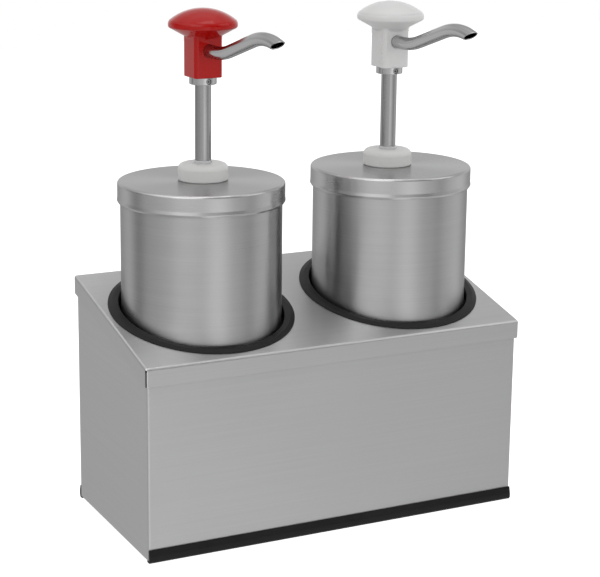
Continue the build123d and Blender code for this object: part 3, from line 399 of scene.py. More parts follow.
def tinted(tree, base, factor):
    """A colour multiplied by a grey value."""
    mixed = {0: 1.0, 6: base, 7: factor}
    return add(tree, "ShaderNodeMix", mixed, data_type="RGBA", blend_type="MULTIPLY").outputs[2]


def unevenness(tree, place, scale, detail, roughness=0.5, distortion=0.0):
    """Noise between nought and one."""
    return add(tree, "ShaderNodeTexNoise", {
        "Vector": place, "Scale": scale, "Detail": detail, "Roughness": roughness, "Distortion": distortion,
    }).outputs[0]


def skin_group(name, settings):
    """A new node group that turns coordinates, a colour and settings into a colour, a roughness and a height."""
    group = bpy.data.node_groups.new(name, "ShaderNodeTree")
    given = {
        "Vector": "Vector", "Colour": "Color", "Contrast": "Float", "Roughness": "Float", "Spread": "Float", **settings,
    }
    made = {"Colour": "Color", "Roughness": "Float", "Height": "Float"}
    for direction, sockets in (("INPUT", given), ("OUTPUT", made)):
        for label, kind in sockets.items():
            group.interface.new_socket(label, in_out=direction, socket_type=f"NodeSocket{kind}")
    return group, add(group, "NodeGroupInput").outputs, add(group, "NodeGroupOutput")


def put_out(group, given, out, shade, wear, height):
    """Ends a skin's group: shade changes the colour and wear the roughness, both about nought."""
    factor = figure(group, "MULTIPLY_ADD", shade, given["Contrast"], 1.0)
    feed(group, out, {
        "Colour": tinted(group, given["Colour"], factor), "Height": height,
        "Roughness": figure(group, "MULTIPLY_ADD", wear, given["Spread"], given["Roughness"]),
    })
    return group


def brushed_grain():
    """Long fine scratches, from coordinates that are stretched along the brushing."""
    name = "Brushed grain"
    if name in bpy.data.node_groups:
        return bpy.data.node_groups[name]
    fine_share, haze_share, centre = 0.7, 0.35, 0.5
    group, given, out = skin_group(name, {"Place": "Vector"})
    fine = unevenness(group, given["Vector"], scale=1.0, detail=4.0, roughness=0.7)
    broad = unevenness(group, given["Vector"], scale=0.16, detail=2.0)
    cloud = unevenness(group, given["Place"], scale=9.0, detail=3.0)
    broad_part = figure(group, "MULTIPLY", broad, 1.0 - fine_share)
    lines = figure(group, "ADD", figure(group, "MULTIPLY", fine, fine_share), broad_part)
    scratches = figure(group, "SUBTRACT", lines, centre)
    haze = figure(group, "SUBTRACT", cloud, centre)
    swing = figure(group, "ADD", scratches, figure(group, "MULTIPLY", haze, haze_share))
    return put_out(group, given, out, swing, figure(group, "ADD", scratches, haze), lines)


def moulded_skin():
    """The faint unevenness of moulded plastic or rubber."""
    name = "Moulded skin"
    if name in bpy.data.node_groups:
        return bpy.data.node_groups[name]
    centre = 0.5
    group, given, out = skin_group(name, {"Pebble": "Float"})
    flow = unevenness(group, given["Vector"], scale=38.0, detail=3.0, distortion=0.4)
    fine = unevenness(group, given["Vector"], scale=given["Pebble"], detail=4.0)
    swing = figure(group, "SUBTRACT", flow, centre)
    return put_out(group, given, out, swing, figure(group, "ADD", swing, figure(group, "SUBTRACT", fine, centre)), fine)


def new_material(name):
    made = bpy.data.materials.new(name)
    made.use_nodes = True
    tree = made.node_tree
    return made, tree, tree.nodes["Principled BSDF"], add(tree, "ShaderNodeTexCoord").outputs["Object"]


def opaque(colour):
    return (*colour, 1.0)


def dress(tree, shader, skin, given, bump, depth, constants):
    """Feeds a shader from a skin's group and sets its constants."""
    looks = add(tree, "ShaderNodeGroup", given, node_tree=skin).outputs
    raised = add(tree, "ShaderNodeBump", {"Height": looks["Height"], "Strength": bump, "Distance": depth})
    feed(tree, shader, {
        "Base Color": looks["Colour"], "Roughness": looks["Roughness"], "Normal": raised.outputs[0], **constants,
    })


def around_a_jar(tree, place):
    """Coordinates and tangent for scratches that run round the nearer of the two jars."""
    axis_x, axis_y = centre_of("right_jar")
    parts = add(tree, "ShaderNodeSeparateXYZ", {0: place}).outputs
    nearer_x = figure(tree, "MULTIPLY", figure(tree, "SIGN", parts[0]), axis_x)
    out_x, out_y = figure(tree, "SUBTRACT", parts[0], nearer_x), figure(tree, "SUBTRACT", parts[1], axis_y)
    flat = vector(tree, out_x, out_y, 0.0)
    radius = add(tree, "ShaderNodeVectorMath", {0: flat}, operation="LENGTH").outputs["Value"]
    return vector(tree, out_x, out_y, figure(tree, "ADD", radius, parts[2])), vector(tree, out_x, out_y, 1.0)


def brushed_steel(
    name, colour, grain, roughness, anisotropy=0.0, tangent=(0, 0, 1), contrast=0.22, bump=0.035, around_jar=False
):
    """Stainless steel brushed along the slow axes of grain, given in scratches per metre."""
    made, tree, shader, place = new_material(name)
    coordinates, along = around_a_jar(tree, place) if around_jar else (place, vector(tree, *tangent))
    stretched = add(tree, "ShaderNodeMapping", {"Vector": coordinates, "Scale": grain}).outputs[0]
    given = {
        "Vector": stretched, "Place": place, "Colour": opaque(colour), "Contrast": contrast, "Roughness": roughness,
        "Spread": 0.16,
    }
    dress(tree, shader, brushed_grain(), given, bump, 1 * MM, {
        "Tangent": along, "Metallic": 1.0, "Specular Tint": opaque((0.6, 0.6, 0.6)), "Anisotropic": anisotropy,
    })
    return made


def rolled_steel(name, colour, grain, smoother=0.0, longer=0.0, **more):
    """Brushed sheet, whose roughness and stretch follow the settings."""
    look = bpy.context.scene.warmer_finishes
    return brushed_steel(
        name, colour, grain, look.steel_roughness - smoother, look.steel_anisotropy + longer, **more
    )


def moulded(
    name, colour, roughness, pebble, contrast, spread, bump, subsurface=0.0, gloss=0.5, metallic=0.0
):
    """Plastic, rubber or a plain casting with a faintly uneven skin."""
    made, tree, shader, place = new_material(name)
    given = {
        "Vector": place, "Colour": opaque(colour), "Contrast": contrast, "Roughness": roughness, "Spread": spread,
        "Pebble": pebble,
    }
    constants = {"Metallic": metallic, "Specular IOR Level": gloss}
    if subsurface:
        constants |= {
            "Subsurface Weight": subsurface, "Subsurface Radius": (1.0, 1.0, 0.9), "Subsurface Scale": 4 * MM,
        }
    dress(tree, shader, moulded_skin(), given, bump, 0.5 * MM, constants)
    return made


# Each finish: what makes it, its colour or the setting that holds the colour, and its other values.
FINISHES = {
    "body steel": (rolled_steel, "sheet_steel", dict(grain=(5, 5, 950))),
    "deck steel": (rolled_steel, "sheet_steel", dict(grain=(5, 950, 950), tangent=(0, 1, 1))),
    "jar steel": (
        rolled_steel, "drawn_steel", dict(grain=(6, 6, 800), smoother=0.06, longer=0.08, contrast=0.26, bump=0.012),
    ),
    "lid steel": (
        rolled_steel, "lid_steel",
        dict(grain=(6, 6, 700), smoother=0.08, longer=0.05, contrast=0.08, bump=0.006, around_jar=True),
    ),
    "tube steel": (
        brushed_steel, "tube_steel",
        dict(grain=(60, 60, 420), roughness=0.15, anisotropy=0.3, contrast=0.06, bump=0.0),
    ),
    "stem steel": (
        brushed_steel, "stem_steel",
        dict(grain=(60, 60, 420), roughness=0.19, anisotropy=0.3, contrast=0.06, bump=0.0),
    ),
    "inner steel": (
        brushed_steel, "sheet_steel", dict(grain=(40, 40, 160), roughness=0.4, anisotropy=0.2, contrast=0.3),
    ),
    # Near black steel for the walls and floors of the deck's seams: painted shade standing in for the shade deep in a
    # narrow seam, on a rougher sheared finish.
    "cut edge steel": (
        brushed_steel, (0.05, 0.05, 0.052), dict(grain=(900, 900, 60), roughness=0.6, contrast=0.3, bump=0.05),
    ),
    "screw steel": (
        brushed_steel, (0.50, 0.50, 0.49), dict(grain=(300, 300, 300), roughness=0.28, contrast=0.3, bump=0.05),
    ),
    "spring steel": (brushed_steel, (0.42, 0.42, 0.42), dict(grain=(500, 500, 500), roughness=0.25, contrast=0.2)),
    "red plastic": (
        moulded, "red", dict(roughness=0.10, pebble=700.0, contrast=0.10, spread=0.05, bump=0.02, gloss=0.34),
    ),
    "white plastic": (
        moulded, "white", dict(roughness=0.30, pebble=700.0, contrast=0.05, spread=0.10, bump=0.03, subsurface=0.25),
    ),
    "moulded nylon": (
        moulded, "nylon",
        dict(roughness=0.42, pebble=500.0, contrast=0.08, spread=0.12, bump=0.05, subsurface=0.8, gloss=0.3),
    ),
    "black rubber": (
        moulded, "rubber", dict(roughness=0.5, pebble=1600.0, contrast=0.5, spread=0.25, bump=0.12, gloss=0.25),
    ),
    "seal rubber": (
        moulded, (0.03, 0.03, 0.032), dict(roughness=0.5, pebble=1500.0, contrast=0.4, spread=0.2, bump=0.1),
    ),
    "black plastic": (
        moulded, (0.018, 0.018, 0.019), dict(roughness=0.36, pebble=2200.0, contrast=0.3, spread=0.15, bump=0.12),
    ),
    "cast aluminium": (
        moulded, (0.55, 0.55, 0.54),
        dict(roughness=0.5, pebble=900.0, contrast=0.25, spread=0.2, bump=0.3, metallic=1.0),
    ),
    "mineral board": (
        moulded, (0.62, 0.58, 0.50), dict(roughness=0.9, pebble=400.0, contrast=0.35, spread=0.1, bump=0.6),
    ),
}


def worn(finish):
    """The material of a finish, made when it is first used."""
    if finish in bpy.data.materials:
        return bpy.data.materials[finish]
    make, colour, looks = FINISHES[finish]
    if isinstance(colour, str):
        colour = getattr(bpy.context.scene.warmer_finishes, colour)
    return make(finish, colour, **looks)


# ---------------------------------------------------------------- pieces
class WARMER_OT_deck(bpy.types.Operator):
    """Fold the sloped deck from sheet, with rounded bends, two holes and open corner seams"""
    bl_idname = "warmer.deck"
    bl_label = "Deck"

    def execute(self, context):
        sizes = context.scene.warmer_sizes
        low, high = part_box("top_deck")
        middle = (low + high) / 2
        steepness = sizes.deck_rise / (high.y - low.y)

        def top_at(y):
            return low.z + sizes.deck_flange + (y - low.y) * steepness

        deck = block(
            (middle.x, middle.y, low.z + sizes.deck_flange / 2), (high.x - low.x, high.y - low.y, sizes.deck_flange)
        )
        edit(deck)
        choose(deck, "verts", lambda place, normal: place.y > middle.y)
        bpy.ops.transform.translate(value=(0, 0, sizes.deck_rise))
        choose(deck, "faces", lambda place, normal: normal.z < -UPRIGHT)
        bpy.ops.mesh.delete(type="FACE")

        def bent(place, along):
            return abs(along.normalized().z) > UPRIGHT or place.z > low.z + 0.9 * sizes.deck_flange

        bevel_edges(deck, bent, sizes.deck_bend, BEND_STEPS)
        apply_modifier(deck, "SOLIDIFY", thickness=sizes.sheet, offset=-1.0, use_even_offset=True)
        for side in SIDES:
            x, y = centre_of(f"{side}_jar")
            cut(deck, rod(sizes.well_radius, (x, y, low.z), (x, y, high.z + sizes.sheet), FINE_STEPS))

        def outer_rim(place, along):
            across = abs(place.x) - high.x + sizes.deck_bend
            deep = abs(place.y - middle.y) - (high.y - low.y) / 2 + sizes.deck_bend
            outside = hypot(max(across, 0), max(deep, 0)) + min(max(across, deep), 0) - sizes.deck_bend
            lowest = abs(place.z + sizes.deck_flange - top_at(place.y)) < 0.25 * sizes.sheet
            return lowest and outside > -0.5 * sizes.sheet

        rim_round = 0.4 * sizes.sheet
        bevel_edges(deck, outer_rim, rim_round, EDGE_STEPS - 1)
        corners = [Vector((x, y, 0)) for x in (low.x, high.x) for y in (low.y, high.y)]
        # A seam is blind: it goes through the bend at a corner and three quarters of the sheet.
        depth = sizes.deck_bend * (sqrt(2) - 1) + 0.75 * sizes.sheet

        def outwards_at(corner):
            return Vector((copysign(1, corner.x), copysign(1, corner.y - middle.y), 0)).normalized()

        # The width and height of each seam, and of the wider relief notch at its top, whose top lies a hair higher.
        slot = (sizes.seam, 2 * sizes.deck_flange)
        relief = (1.4 * sizes.seam, 1.7 * sizes.seam)
        seam_drop = 0.6 * sizes.deck_bend
        for corner in corners:
            outwards = outwards_at(corner)
            for width, height in (slot, relief):
                top = top_at(corner.y) - seam_drop + 0.1 * (width - sizes.seam)
                centre = corner + Vector((0, 0, top - height / 2))
                cut(deck, block(centre, (2 * depth, width, height), atan2(outwards.y, outwards.x)))
        settle(deck, "folded_deck", "housing", ["top_deck"], "brushed_steel", "deck steel")

        def in_seam(place, normal):
            """Whether a face is a wall or the floor of a seam, with a little slack for the bend's facets."""
            for corner in corners:
                outwards = outwards_at(corner)
                away = Vector((place.x, place.y, 0)) - corner
                inside = -away.dot(outwards)
                if (away + outwards * inside).length < 0.75 * sizes.seam and inside < 1.03 * depth:
                    on_cut = abs(normal.dot(outwards)) < 0.5 or inside > 0.97 * depth
                    return place.z > top_at(corner.y) - 0.98 * sizes.deck_flange and on_cut
            return False

        # The seams' walls and floors get the near black steel: painted shade, because the blind seams are too shallow
        # to fall dark by themselves.
        deck.data.materials.append(worn("cut edge steel"))
        edit(deck)
        choose(deck, "faces", in_seam)
        deck.active_material_index = 1
        bpy.ops.object.material_slot_assign()
        leave_editing()
        return {"FINISHED"}


class WARMER_OT_rings(bpy.types.Operator):
    """Spin the rubber rings on the sloped deck and bore them upright for the jars"""
    bl_idname = "warmer.rings"
    bl_label = "Rubber rings"

    def execute(self, context):
        sizes = context.scene.warmer_sizes
        deck_low, deck_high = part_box("top_deck")
        low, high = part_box("left_well_ring")
        x, y = centre_of("left_jar")
        rim = (high.x - low.x) / 2
        neck_gap, neck_wall, near = 0.2 * MM, 5.5 * MM, 0.05 * MM
        bore = sizes.well_radius - neck_wall
        angle = atan2(sizes.deck_rise, deck_high.y - deck_low.y)
        centre = Vector((x, y, deck_low.z + sizes.deck_flange + (y - deck_low.y) * tan(angle)))
        up = Vector((0, -sin(angle), cos(angle)))
        through = Vector((0, 0, 80 * MM))
        outline = [
            (0, 0), (rim, 0), (rim, sizes.ring_edge), (rim - sizes.ring_bevel, sizes.ring_thickness),
            (0, sizes.ring_thickness),
        ]
        ring = turned(rounded(outline, {2: 0.35 * MM, 3: 1.2 * MM}, 4), (0, 0), FINE_STEPS)
        bpy.ops.transform.rotate(value=-angle, orient_axis="X", center_override=(0, 0, 0))
        bpy.ops.transform.translate(value=centre)
        apply_place(ring)
        neck = rod(sizes.well_radius - neck_gap, centre - through, centre + through, FINE_STEPS)
        edit(neck)
        for drop, outer in ((-sizes.ring_thickness / 2, True), (sizes.ring_neck, False)):
            bpy.ops.mesh.select_all(action="SELECT")
            bpy.ops.mesh.bisect(
                plane_co=centre - up * drop, plane_no=up, use_fill=True, clear_outer=outer, clear_inner=not outer
            )
        cut(ring, neck, "UNION")
        cut(ring, rod(bore, centre - through, centre + through, FINE_STEPS))

        def inner_edge(place, along):
            away = place - centre
            on_face = abs(away.dot(up) - sizes.ring_thickness) < near
            return on_face and abs(hypot(away.x, away.y) - bore) < 2 * near

        bevel_edges(ring, inner_edge, sizes.ring_round, EDGE_STEPS)
        for side, piece in both_sides(ring, "jar"):
            settle(piece, f"{side}_rubber_ring", "housing", [f"{side}_well_ring"], "black_rubber", "black rubber", 35)
        return {"FINISHED"}


class WARMER_OT_jars(bpy.types.Operator):
    """Spin the two drawn steel jars with their rolled rims"""
    bl_idname = "warmer.jars"
    bl_label = "Jars"

    def execute(self, context):
        sizes = context.scene.warmer_sizes
        low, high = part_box("left_jar")
        rim = (high.x - low.x) / 2
        outer = rim - sizes.jar_rim_roll
        inner = outer - sizes.jar_wall
        floor = low.z + sizes.jar_wall
        rim_foot, rim_slope = high.z - 3 * MM, 1 * MM
        outline = [
            (0, low.z), (outer, low.z), (outer, rim_foot - rim_slope), (rim, rim_foot), (rim, high.z), (inner, high.z),
            (inner, floor), (0, floor),
        ]
        rounds = {
            1: sizes.jar_corner, 2: 0.8 * MM, 3: 0.5 * MM, 4: 1.1 * MM, 5: 0.5 * MM,
            6: sizes.jar_corner - sizes.jar_wall,
        }
        jar = turned(rounded(outline, rounds), centre_of("left_jar"), 128)
        settle_both(jar, "drawn_jar", "jar", "jar", "brushed_steel", "jar steel")
        return {"FINISHED"}


class WARMER_OT_lids(bpy.types.Operator):
    """Spin the two lids and cut the pump's hole in each"""
    bl_idname = "warmer.lids"
    bl_label = "Lids"

    def execute(self, context):
        sizes = context.scene.warmer_sizes
        low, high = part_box("left_jar_lid")
        edge = (high.x - low.x) / 2
        outer = edge - sizes.lid_flare
        inner = outer - sizes.lid_sheet
        flare_z = low.z + sizes.lid_flare_height
        bead_z = low.z + 0.4 * sizes.lid_flare_height
        under_top = high.z - sizes.lid_sheet
        hem = 0.4 * sizes.lid_sheet
        curled = edge - sizes.lid_curl
        hole_radius, hole_reach = 17.3 * MM, Vector((0, 0, 3 * MM))
        outline = [
            (0, high.z), (outer, high.z), (outer, flare_z), (edge, bead_z), (curled, low.z), (curled - 2 * hem, low.z),
            (edge - sizes.lid_sheet, bead_z), (inner, flare_z), (inner, under_top), (0, under_top),
        ]
        rounds = {
            1: sizes.lid_bend, 2: 4 * MM, 3: 1.2 * MM, 4: hem, 6: hem, 7: 4 * MM, 8: sizes.lid_bend - sizes.lid_sheet,
        }
        lid = turned(rounded(outline, rounds, 8), centre_of("left_jar_lid"), 128)
        for side, piece in both_sides(lid, "jar_lid"):
            hole = Vector((*centre_of(f"{side}_pump_collar"), high.z))
            cut(piece, rod(hole_radius, hole - hole_reach, hole + hole_reach, 64))
            settle(piece, f"{side}_pressed_lid", f"{side}_lid", [f"{side}_jar_lid"], "brushed_steel", "lid steel")
        return {"FINISHED"}


class WARMER_OT_collars(bpy.types.Operator):
    """Spin the nylon collars and the wipers in their mouths"""
    bl_idname = "warmer.collars"
    bl_label = "Collars and wipers"

    def execute(self, context):
        sizes = context.scene.warmer_sizes
        low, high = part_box("left_pump_collar")
        wiper_low, wiper_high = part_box("left_stem_wiper")
        outer = (high.x - low.x) / 2
        bore, pocket, mouth = 17.1 * MM, 12.1 * MM, 9.0 * MM
        pocket_gap, pocket_height = 0.1 * MM, 2.4 * MM
        pocket_floor = wiper_low.z - pocket_gap
        pocket_top = pocket_floor + pocket_height
        outline = [
            (bore, low.z), (outer, low.z), (outer, high.z), (mouth, high.z), (mouth, pocket_top), (pocket, pocket_top),
            (pocket, pocket_floor), (bore, pocket_floor), (bore, low.z),
        ]
        rounds = {1: sizes.collar_foot_round, 2: sizes.collar_round, 3: 0.7 * MM}
        collar = turned(rounded(outline, rounds, 8), centre_of("left_pump_collar"))
        inner, flange, lip = sizes.stem_radius + STEM_FIT, 12.0 * MM, 8.9 * MM
        flange_top = wiper_low.z + 2.2 * MM
        outline = [
            (inner, wiper_low.z), (flange, wiper_low.z), (flange, flange_top), (lip, flange_top), (lip, wiper_high.z),
            (inner, wiper_high.z), (inner, wiper_low.z),
        ]
        wiper = turned(rounded(outline, {2: 0.3 * MM, 4: 0.4 * MM}, 4), centre_of("left_stem_wiper"), 64)
        settle_both(collar, "nylon_collar", "lid", "pump_collar", "nylon", "moulded nylon")
        settle_both(wiper, "lip_wiper", "wiper", "stem_wiper", "nylon", "moulded nylon")
        return {"FINISHED"}


class WARMER_OT_stems(bpy.types.Operator):
    """Spin the hollow stems with their stop shoulder and ball pin"""
    bl_idname = "warmer.stems"
    bl_label = "Stems"

    def execute(self, context):
        sizes = context.scene.warmer_sizes
        low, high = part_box("left_stem")
        x, y = centre_of("left_stem")
        outer, bore = sizes.stem_radius, sizes.stem_bore
        shoulder = (high.x - low.x) / 2
        stop_low, stop_top, pin_z = 349.1 * MM, 352.1 * MM, 257.6 * MM
        outline = [
            (bore, low.z), (outer, low.z), (outer, stop_low), (shoulder, stop_low), (shoulder, stop_top),
            (outer, stop_top), (outer, high.z), (bore, high.z), (bore, low.z),
        ]
        stem = turned(rounded(outline, {1: 0.4 * MM, 3: 0.4 * MM, 4: 0.4 * MM, 6: 0.6 * MM}, 3), (x, y), 64)
        reach = (outer + bore) / 2
        join(stem, rod(1 * MM, (x - reach, y, pin_z), (x + reach, y, pin_z), 24))
        settle_both(stem, "pump_stem", "plunger", "stem", "satin_tube", "stem steel")
        return {"FINISHED"}


def palm_button(sizes, centre, apex):
    """Spins the domed button with the cone under its rim."""
    rim, ball, steps = sizes.head_rim, sizes.head_dome, 20
    cone_z = apex - sizes.head_cone_drop
    edge_angle = asin(rim / ball)
    dome = [
        (ball * sin(edge_angle * step / steps), apex - ball + ball * cos(edge_angle * step / steps))
        for step in range(steps, 0, -1)
    ]
    corners = [(0, cone_z), (sizes.head_cone, cone_z), (rim, apex - sizes.head_rim_drop), *dome, (0, apex)]
    return turned(rounded(corners, {2: 2.5 * MM, 3: 5.2 * MM}, 6), centre, 112)


class WARMER_OT_heads(bpy.types.Operator):
    """Raise each pump head's square block, join the domed palm button to it, and bore it for stem and spout"""
    bl_idname = "warmer.heads"
    bl_label = "Pump heads"

    def execute(self, context):
        sizes = context.scene.warmer_sizes
        low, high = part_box("left_pump_head")
        x, y = centre_of("left_stop_collar")
        foot, apex = low.z, high.z
        half, corner = sizes.head_block / 2, sizes.head_block_round
        cone_z = apex - sizes.head_cone_drop
        flare = (sizes.head_cone_drop - sizes.head_rim_drop) / (sizes.head_rim - sizes.head_cone)
        near = 0.12 * MM
        deselect_all()
        bpy.ops.mesh.primitive_plane_add(size=sizes.head_block, location=(x, y, foot))
        head = bpy.context.object
        edit(head)
        bpy.ops.mesh.bevel(offset=corner, segments=BEND_STEPS, affect="VERTICES")
        bpy.ops.mesh.select_all(action="SELECT")
        inside_button = apex - 22 * MM
        bpy.ops.mesh.extrude_region_move(TRANSFORM_OT_translate={"value": (0, 0, inside_button - foot)})
        clean_up()
        choose(head, "faces", lambda middle, normal: normal.z < -UPRIGHT)
        bpy.ops.mesh.region_to_loop()
        foot_round, cone_round = 0.9 * MM, 1.3 * MM
        bpy.ops.mesh.bevel(offset=foot_round, segments=EDGE_STEPS)
        apply_place(head)
        cut(head, palm_button(sizes, (x, y), apex), "UNION")

        def where_cone_meets_block(middle, normal):
            across, along = abs(middle.x - x), abs(middle.y - y)
            past = hypot(max(across - half + corner, 0), max(along - half + corner, 0))
            height = cone_z + (hypot(across, along) - sizes.head_cone) * flare
            return abs(past - corner) < near and abs(middle.z - height) < near

        bevel_edges(head, where_cone_meets_block, cone_round, EDGE_STEPS)
        stem_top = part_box("left_stem")[1].z
        spout_z = foot + sizes.spout_height
        passage, spout_fit = 5 * MM, 0.15 * MM
        cut(head, rod(sizes.stem_radius + STEM_FIT, (x, y, foot - 2 * MM), (x, y, stem_top)))
        cut(head, rod(passage, (x, y, stem_top - 1 * MM), (x, y, spout_z)))
        cut(head, rod(sizes.spout_radius + spout_fit, (x, y + 1 * MM, spout_z), (x, y - 2 * half, spout_z), 64))
        looks = {"left": ("red_plastic", "red plastic"), "right": ("white_plastic", "white plastic")}
        for side, piece in both_sides(head, "stop_collar"):
            turn_as_head(piece, side)
            settle(piece, f"{side}_palm_head", f"{side}_plunger", [f"{side}_pump_head"], *looks[side], 40)
        return {"FINISHED"}


class WARMER_OT_spouts(bpy.types.Operator):
    """Bend each spout from a straight tube and cut its slanted mouth"""
    bl_idname = "warmer.spouts"
    bl_label = "Spouts"

    def execute(self, context):
        sizes = context.scene.warmer_sizes
        x, y = centre_of("left_stop_collar")
        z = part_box("left_pump_head")[0].z + sizes.spout_height
        root, spare = 2 * MM, 9 * MM
        rise, fall, down = sizes.spout_rise, sizes.spout_fall, sizes.mouth_slant
        lower, upper, level = sizes.spout_lower_bend, sizes.spout_upper_bend, sizes.spout_level_run
        climb = (sizes.spout_reach - level - lower * sin(rise) - upper * (sin(rise) + sin(fall))) / cos(rise)
        deselect_all()
        bpy.ops.mesh.primitive_circle_add(
            vertices=40, radius=sizes.spout_radius, location=(x, y - root, z), rotation=(pi / 2, 0, 0)
        )
        spout = apply_place(bpy.context.object)
        edit(spout)
        bpy.ops.mesh.extrude_edges_move(TRANSFORM_OT_translate={"value": (0, root - level, 0)})
        here = Vector((x, y - level, z))
        bpy.ops.mesh.spin(steps=12, angle=rise, center=here + Vector((0, 0, lower)), axis=(1, 0, 0))
        here += Vector((0, -lower * sin(rise), lower * (1 - cos(rise))))
        run = Vector((0, -climb * cos(rise), climb * sin(rise)))
        bpy.ops.mesh.extrude_edges_move(TRANSFORM_OT_translate={"value": run})
        centre = here + run + Vector((0, -sin(rise), -cos(rise))) * upper
        bpy.ops.mesh.spin(steps=16, angle=-(rise + fall), center=centre, axis=(1, 0, 0))
        mouth = centre + Vector((0, -sin(fall), cos(fall))) * upper
        beyond = Vector((0, -cos(fall), -sin(fall))) * spare
        bpy.ops.mesh.extrude_edges_move(TRANSFORM_OT_translate={"value": beyond})
        clean_up()
        bpy.ops.mesh.bisect(plane_co=mouth, plane_no=(0, -cos(down), -sin(down)), clear_outer=True)
        apply_modifier(spout, "SOLIDIFY", thickness=sizes.spout_wall, offset=-1.0, use_even_offset=True)
        break_edges(spout, 0.18 * MM, 50)
        settle_both(spout, "bent_spout", "plunger", "spout", "satin_tube", "tube steel", 40, pointing=True)
        return {"FINISHED"}


class WARMER_OT_stop_collars(bpy.types.Operator):
    """Spin the stop collars and fit a hexagon socket screw in each"""
    bl_idname = "warmer.stop_collars"
    bl_label = "Stop collars and set screws"

    def execute(self, context):
        sizes = context.scene.warmer_sizes
        low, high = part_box("left_stop_collar")
        x, y = centre_of("left_stop_collar")
        outer, inner = (high.x - low.x) / 2, sizes.stem_radius
        middle = (low.z + high.z) / 2
        hole_radius, screw_radius, socket_radius = 2.7 * MM, 2.15 * MM, 1.25 * MM
        outline = [(inner, low.z), (outer, low.z), (outer, high.z), (inner, high.z), (inner, low.z)]
        collar = turned(rounded(outline, {1: 0.9 * MM, 2: 0.3 * MM}, 4), (x, y))
        cut(collar, rod(hole_radius, (x, y - 6 * MM, middle), (x, y - 20 * MM, middle), 40))
        face = y - outer + 0.7 * MM
        screw = rod(screw_radius, (x, y - inner, middle), (x, face, middle), 40)
        break_edges(screw, 0.25 * MM, 60)
        cut(screw, rod(socket_radius, (x, face + 3 * MM, middle), (x, face - 2 * MM, middle), 6))
        settle_both(collar, "stop_ring", "plunger", "stop_collar", "satin_tube", "tube steel", pointing=True)
        settle_both(screw, "grub_screw", "plunger", "set_screw", "plated_screw", "screw steel", pointing=True)
        return {"FINISHED"}


class WARMER_OT_springs(bpy.types.Operator):
    """Wind the return springs"""
    bl_idname = "warmer.springs"
    bl_label = "Return springs"

    def execute(self, context):
        sizes = context.scene.warmer_sizes
        low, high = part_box("left_return_spring")
        x, y = centre_of("left_cylinder")
        wire, turns, steps, sides = sizes.spring_wire, 8, 28, 10
        height = high.z - low.z - 2 * wire
        deselect_all()
        bpy.ops.mesh.primitive_circle_add(
            vertices=sides, radius=wire, location=(x, y, low.z + wire), rotation=(pi / 2, 0, 0)
        )
        spring = bpy.context.object
        bpy.ops.object.transform_apply(location=False, rotation=True, scale=True)
        edit(spring)
        bpy.ops.transform.translate(value=(sizes.spring_coil, 0, 0))
        leave_editing()
        apply_modifier(
            spring, "SCREW", angle=2 * pi, screw_offset=height / turns, iterations=turns, steps=steps,
            render_steps=steps, use_merge_vertices=False,
        )
        edit(spring)
        bpy.ops.mesh.remove_doubles(threshold=SAME_PLACE)
        bpy.ops.mesh.fill_holes(sides=sides + 2)
        clean_up()
        apply_place(spring)
        for side, piece in both_sides(spring, "cylinder"):
            nodes = [f"{side}_return_spring"]
            settle(piece, f"{side}_wound_spring", f"{side}_lid", nodes, "spring_steel", "spring steel")
            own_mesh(piece)
        return {"FINISHED"}


class WARMER_OT_carried_parts(bpy.types.Operator):
    """Give every part that keeps its own shape the finish of its material"""
    bl_idname = "warmer.carried_parts"
    bl_label = "Finishes of the carried parts"

    def execute(self, context):
        kinds = {
            "body steel": ("outer_shell", "control_panel"),
            "inner steel": ("base_plate", "well"),
            "screw steel": (
                "base_screws", "panel_screws", "heater_nuts", "thermostat_shaft", "intake_ball", "discharge_ball"
            ),
            "black plastic": (
                "thermostat", "thermostat_knob", "rocker_switch", "rocker", "power_inlet", "thermal_cutout"
            ),
            "white plastic": ("terminal_block",),
            "black rubber": ("front_foot_strip", "rear_foot_strip"),
            "cast aluminium": ("heater",),
            "mineral board": ("insulation",),
            "moulded nylon": ("cylinder", "foot_valve", "piston"),
            "seal rubber": ("piston_seal",),
        }
        finishes = {kind: finish for finish, members in kinds.items() for kind in members}
        for name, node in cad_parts.items():
            if node.hide_render:
                continue
            kind = name.removeprefix("left_").removeprefix("right_")
            for slot in node.material_slots:
                slot.material = worn(finishes[kind])
        return {"FINISHED"}


# ---------------------------------------------------------------- stage
# The room as polished surfaces see it: an even grey, with soft cards in front of three of its zones.
# Each card has a heading and a spread in degrees, from the front round to the right, and a change of brightness.
ROOM_LEVEL = 0.55
CEILING_LEVEL = 0.84
ROOM_CARDS = {
    "floor": (
        (0, 30, 0.35), (10, 80, 0.17), (48, 18, -0.22), (-85, 45, -0.10), (-125, 22, -0.27), (90, 30, 0.22),
        (-150, 30, 0.10),
    ),
    "horizon": ((-60, 50, 0.22), (-120, 50, -0.35), (30, 80, -0.60), (150, 80, 0.42)),
    "upper": ((-80, 70, 0.75), (0, 60, -0.10)),
}
# Between these heights of a direction, the floor gives way to the horizon, that to the upper walls, and those to
# the ceiling.
ZONE_EDGES = ((-0.12, 0.0), (0.25, 0.5), (0.75, 0.9))

# Each soft lamp: its name, place, width and brightness.
LAMPS = (
    ("overhead softbox", (0.0, -0.2, 2.2), 1.1, 1.08),
    ("left softbox", (-1.7, -1.6, 1.5), 1.8, 0.74),
    ("right softbox", (1.9, -1.3, 1.4), 1.8, 0.64),
    ("rear softbox", (0.6, 1.9, 2.6), 1.6, 0.07),
)
LAMPS_AIM = Vector((0, 0.1, 0.22))
FLOOR_SIZE = 8.0
SENSOR_WIDTH = 36.0
VIEW_DEPTH = 50.0


def sight_lines(tree):
    """Whether a surface is seen straight or through something clear, and whether in a reflection."""
    paths = add(tree, "ShaderNodeLightPath").outputs
    return figure(tree, "MAXIMUM", paths["Is Camera Ray"], paths["Is Transmission Ray"]), paths["Is Glossy Ray"]


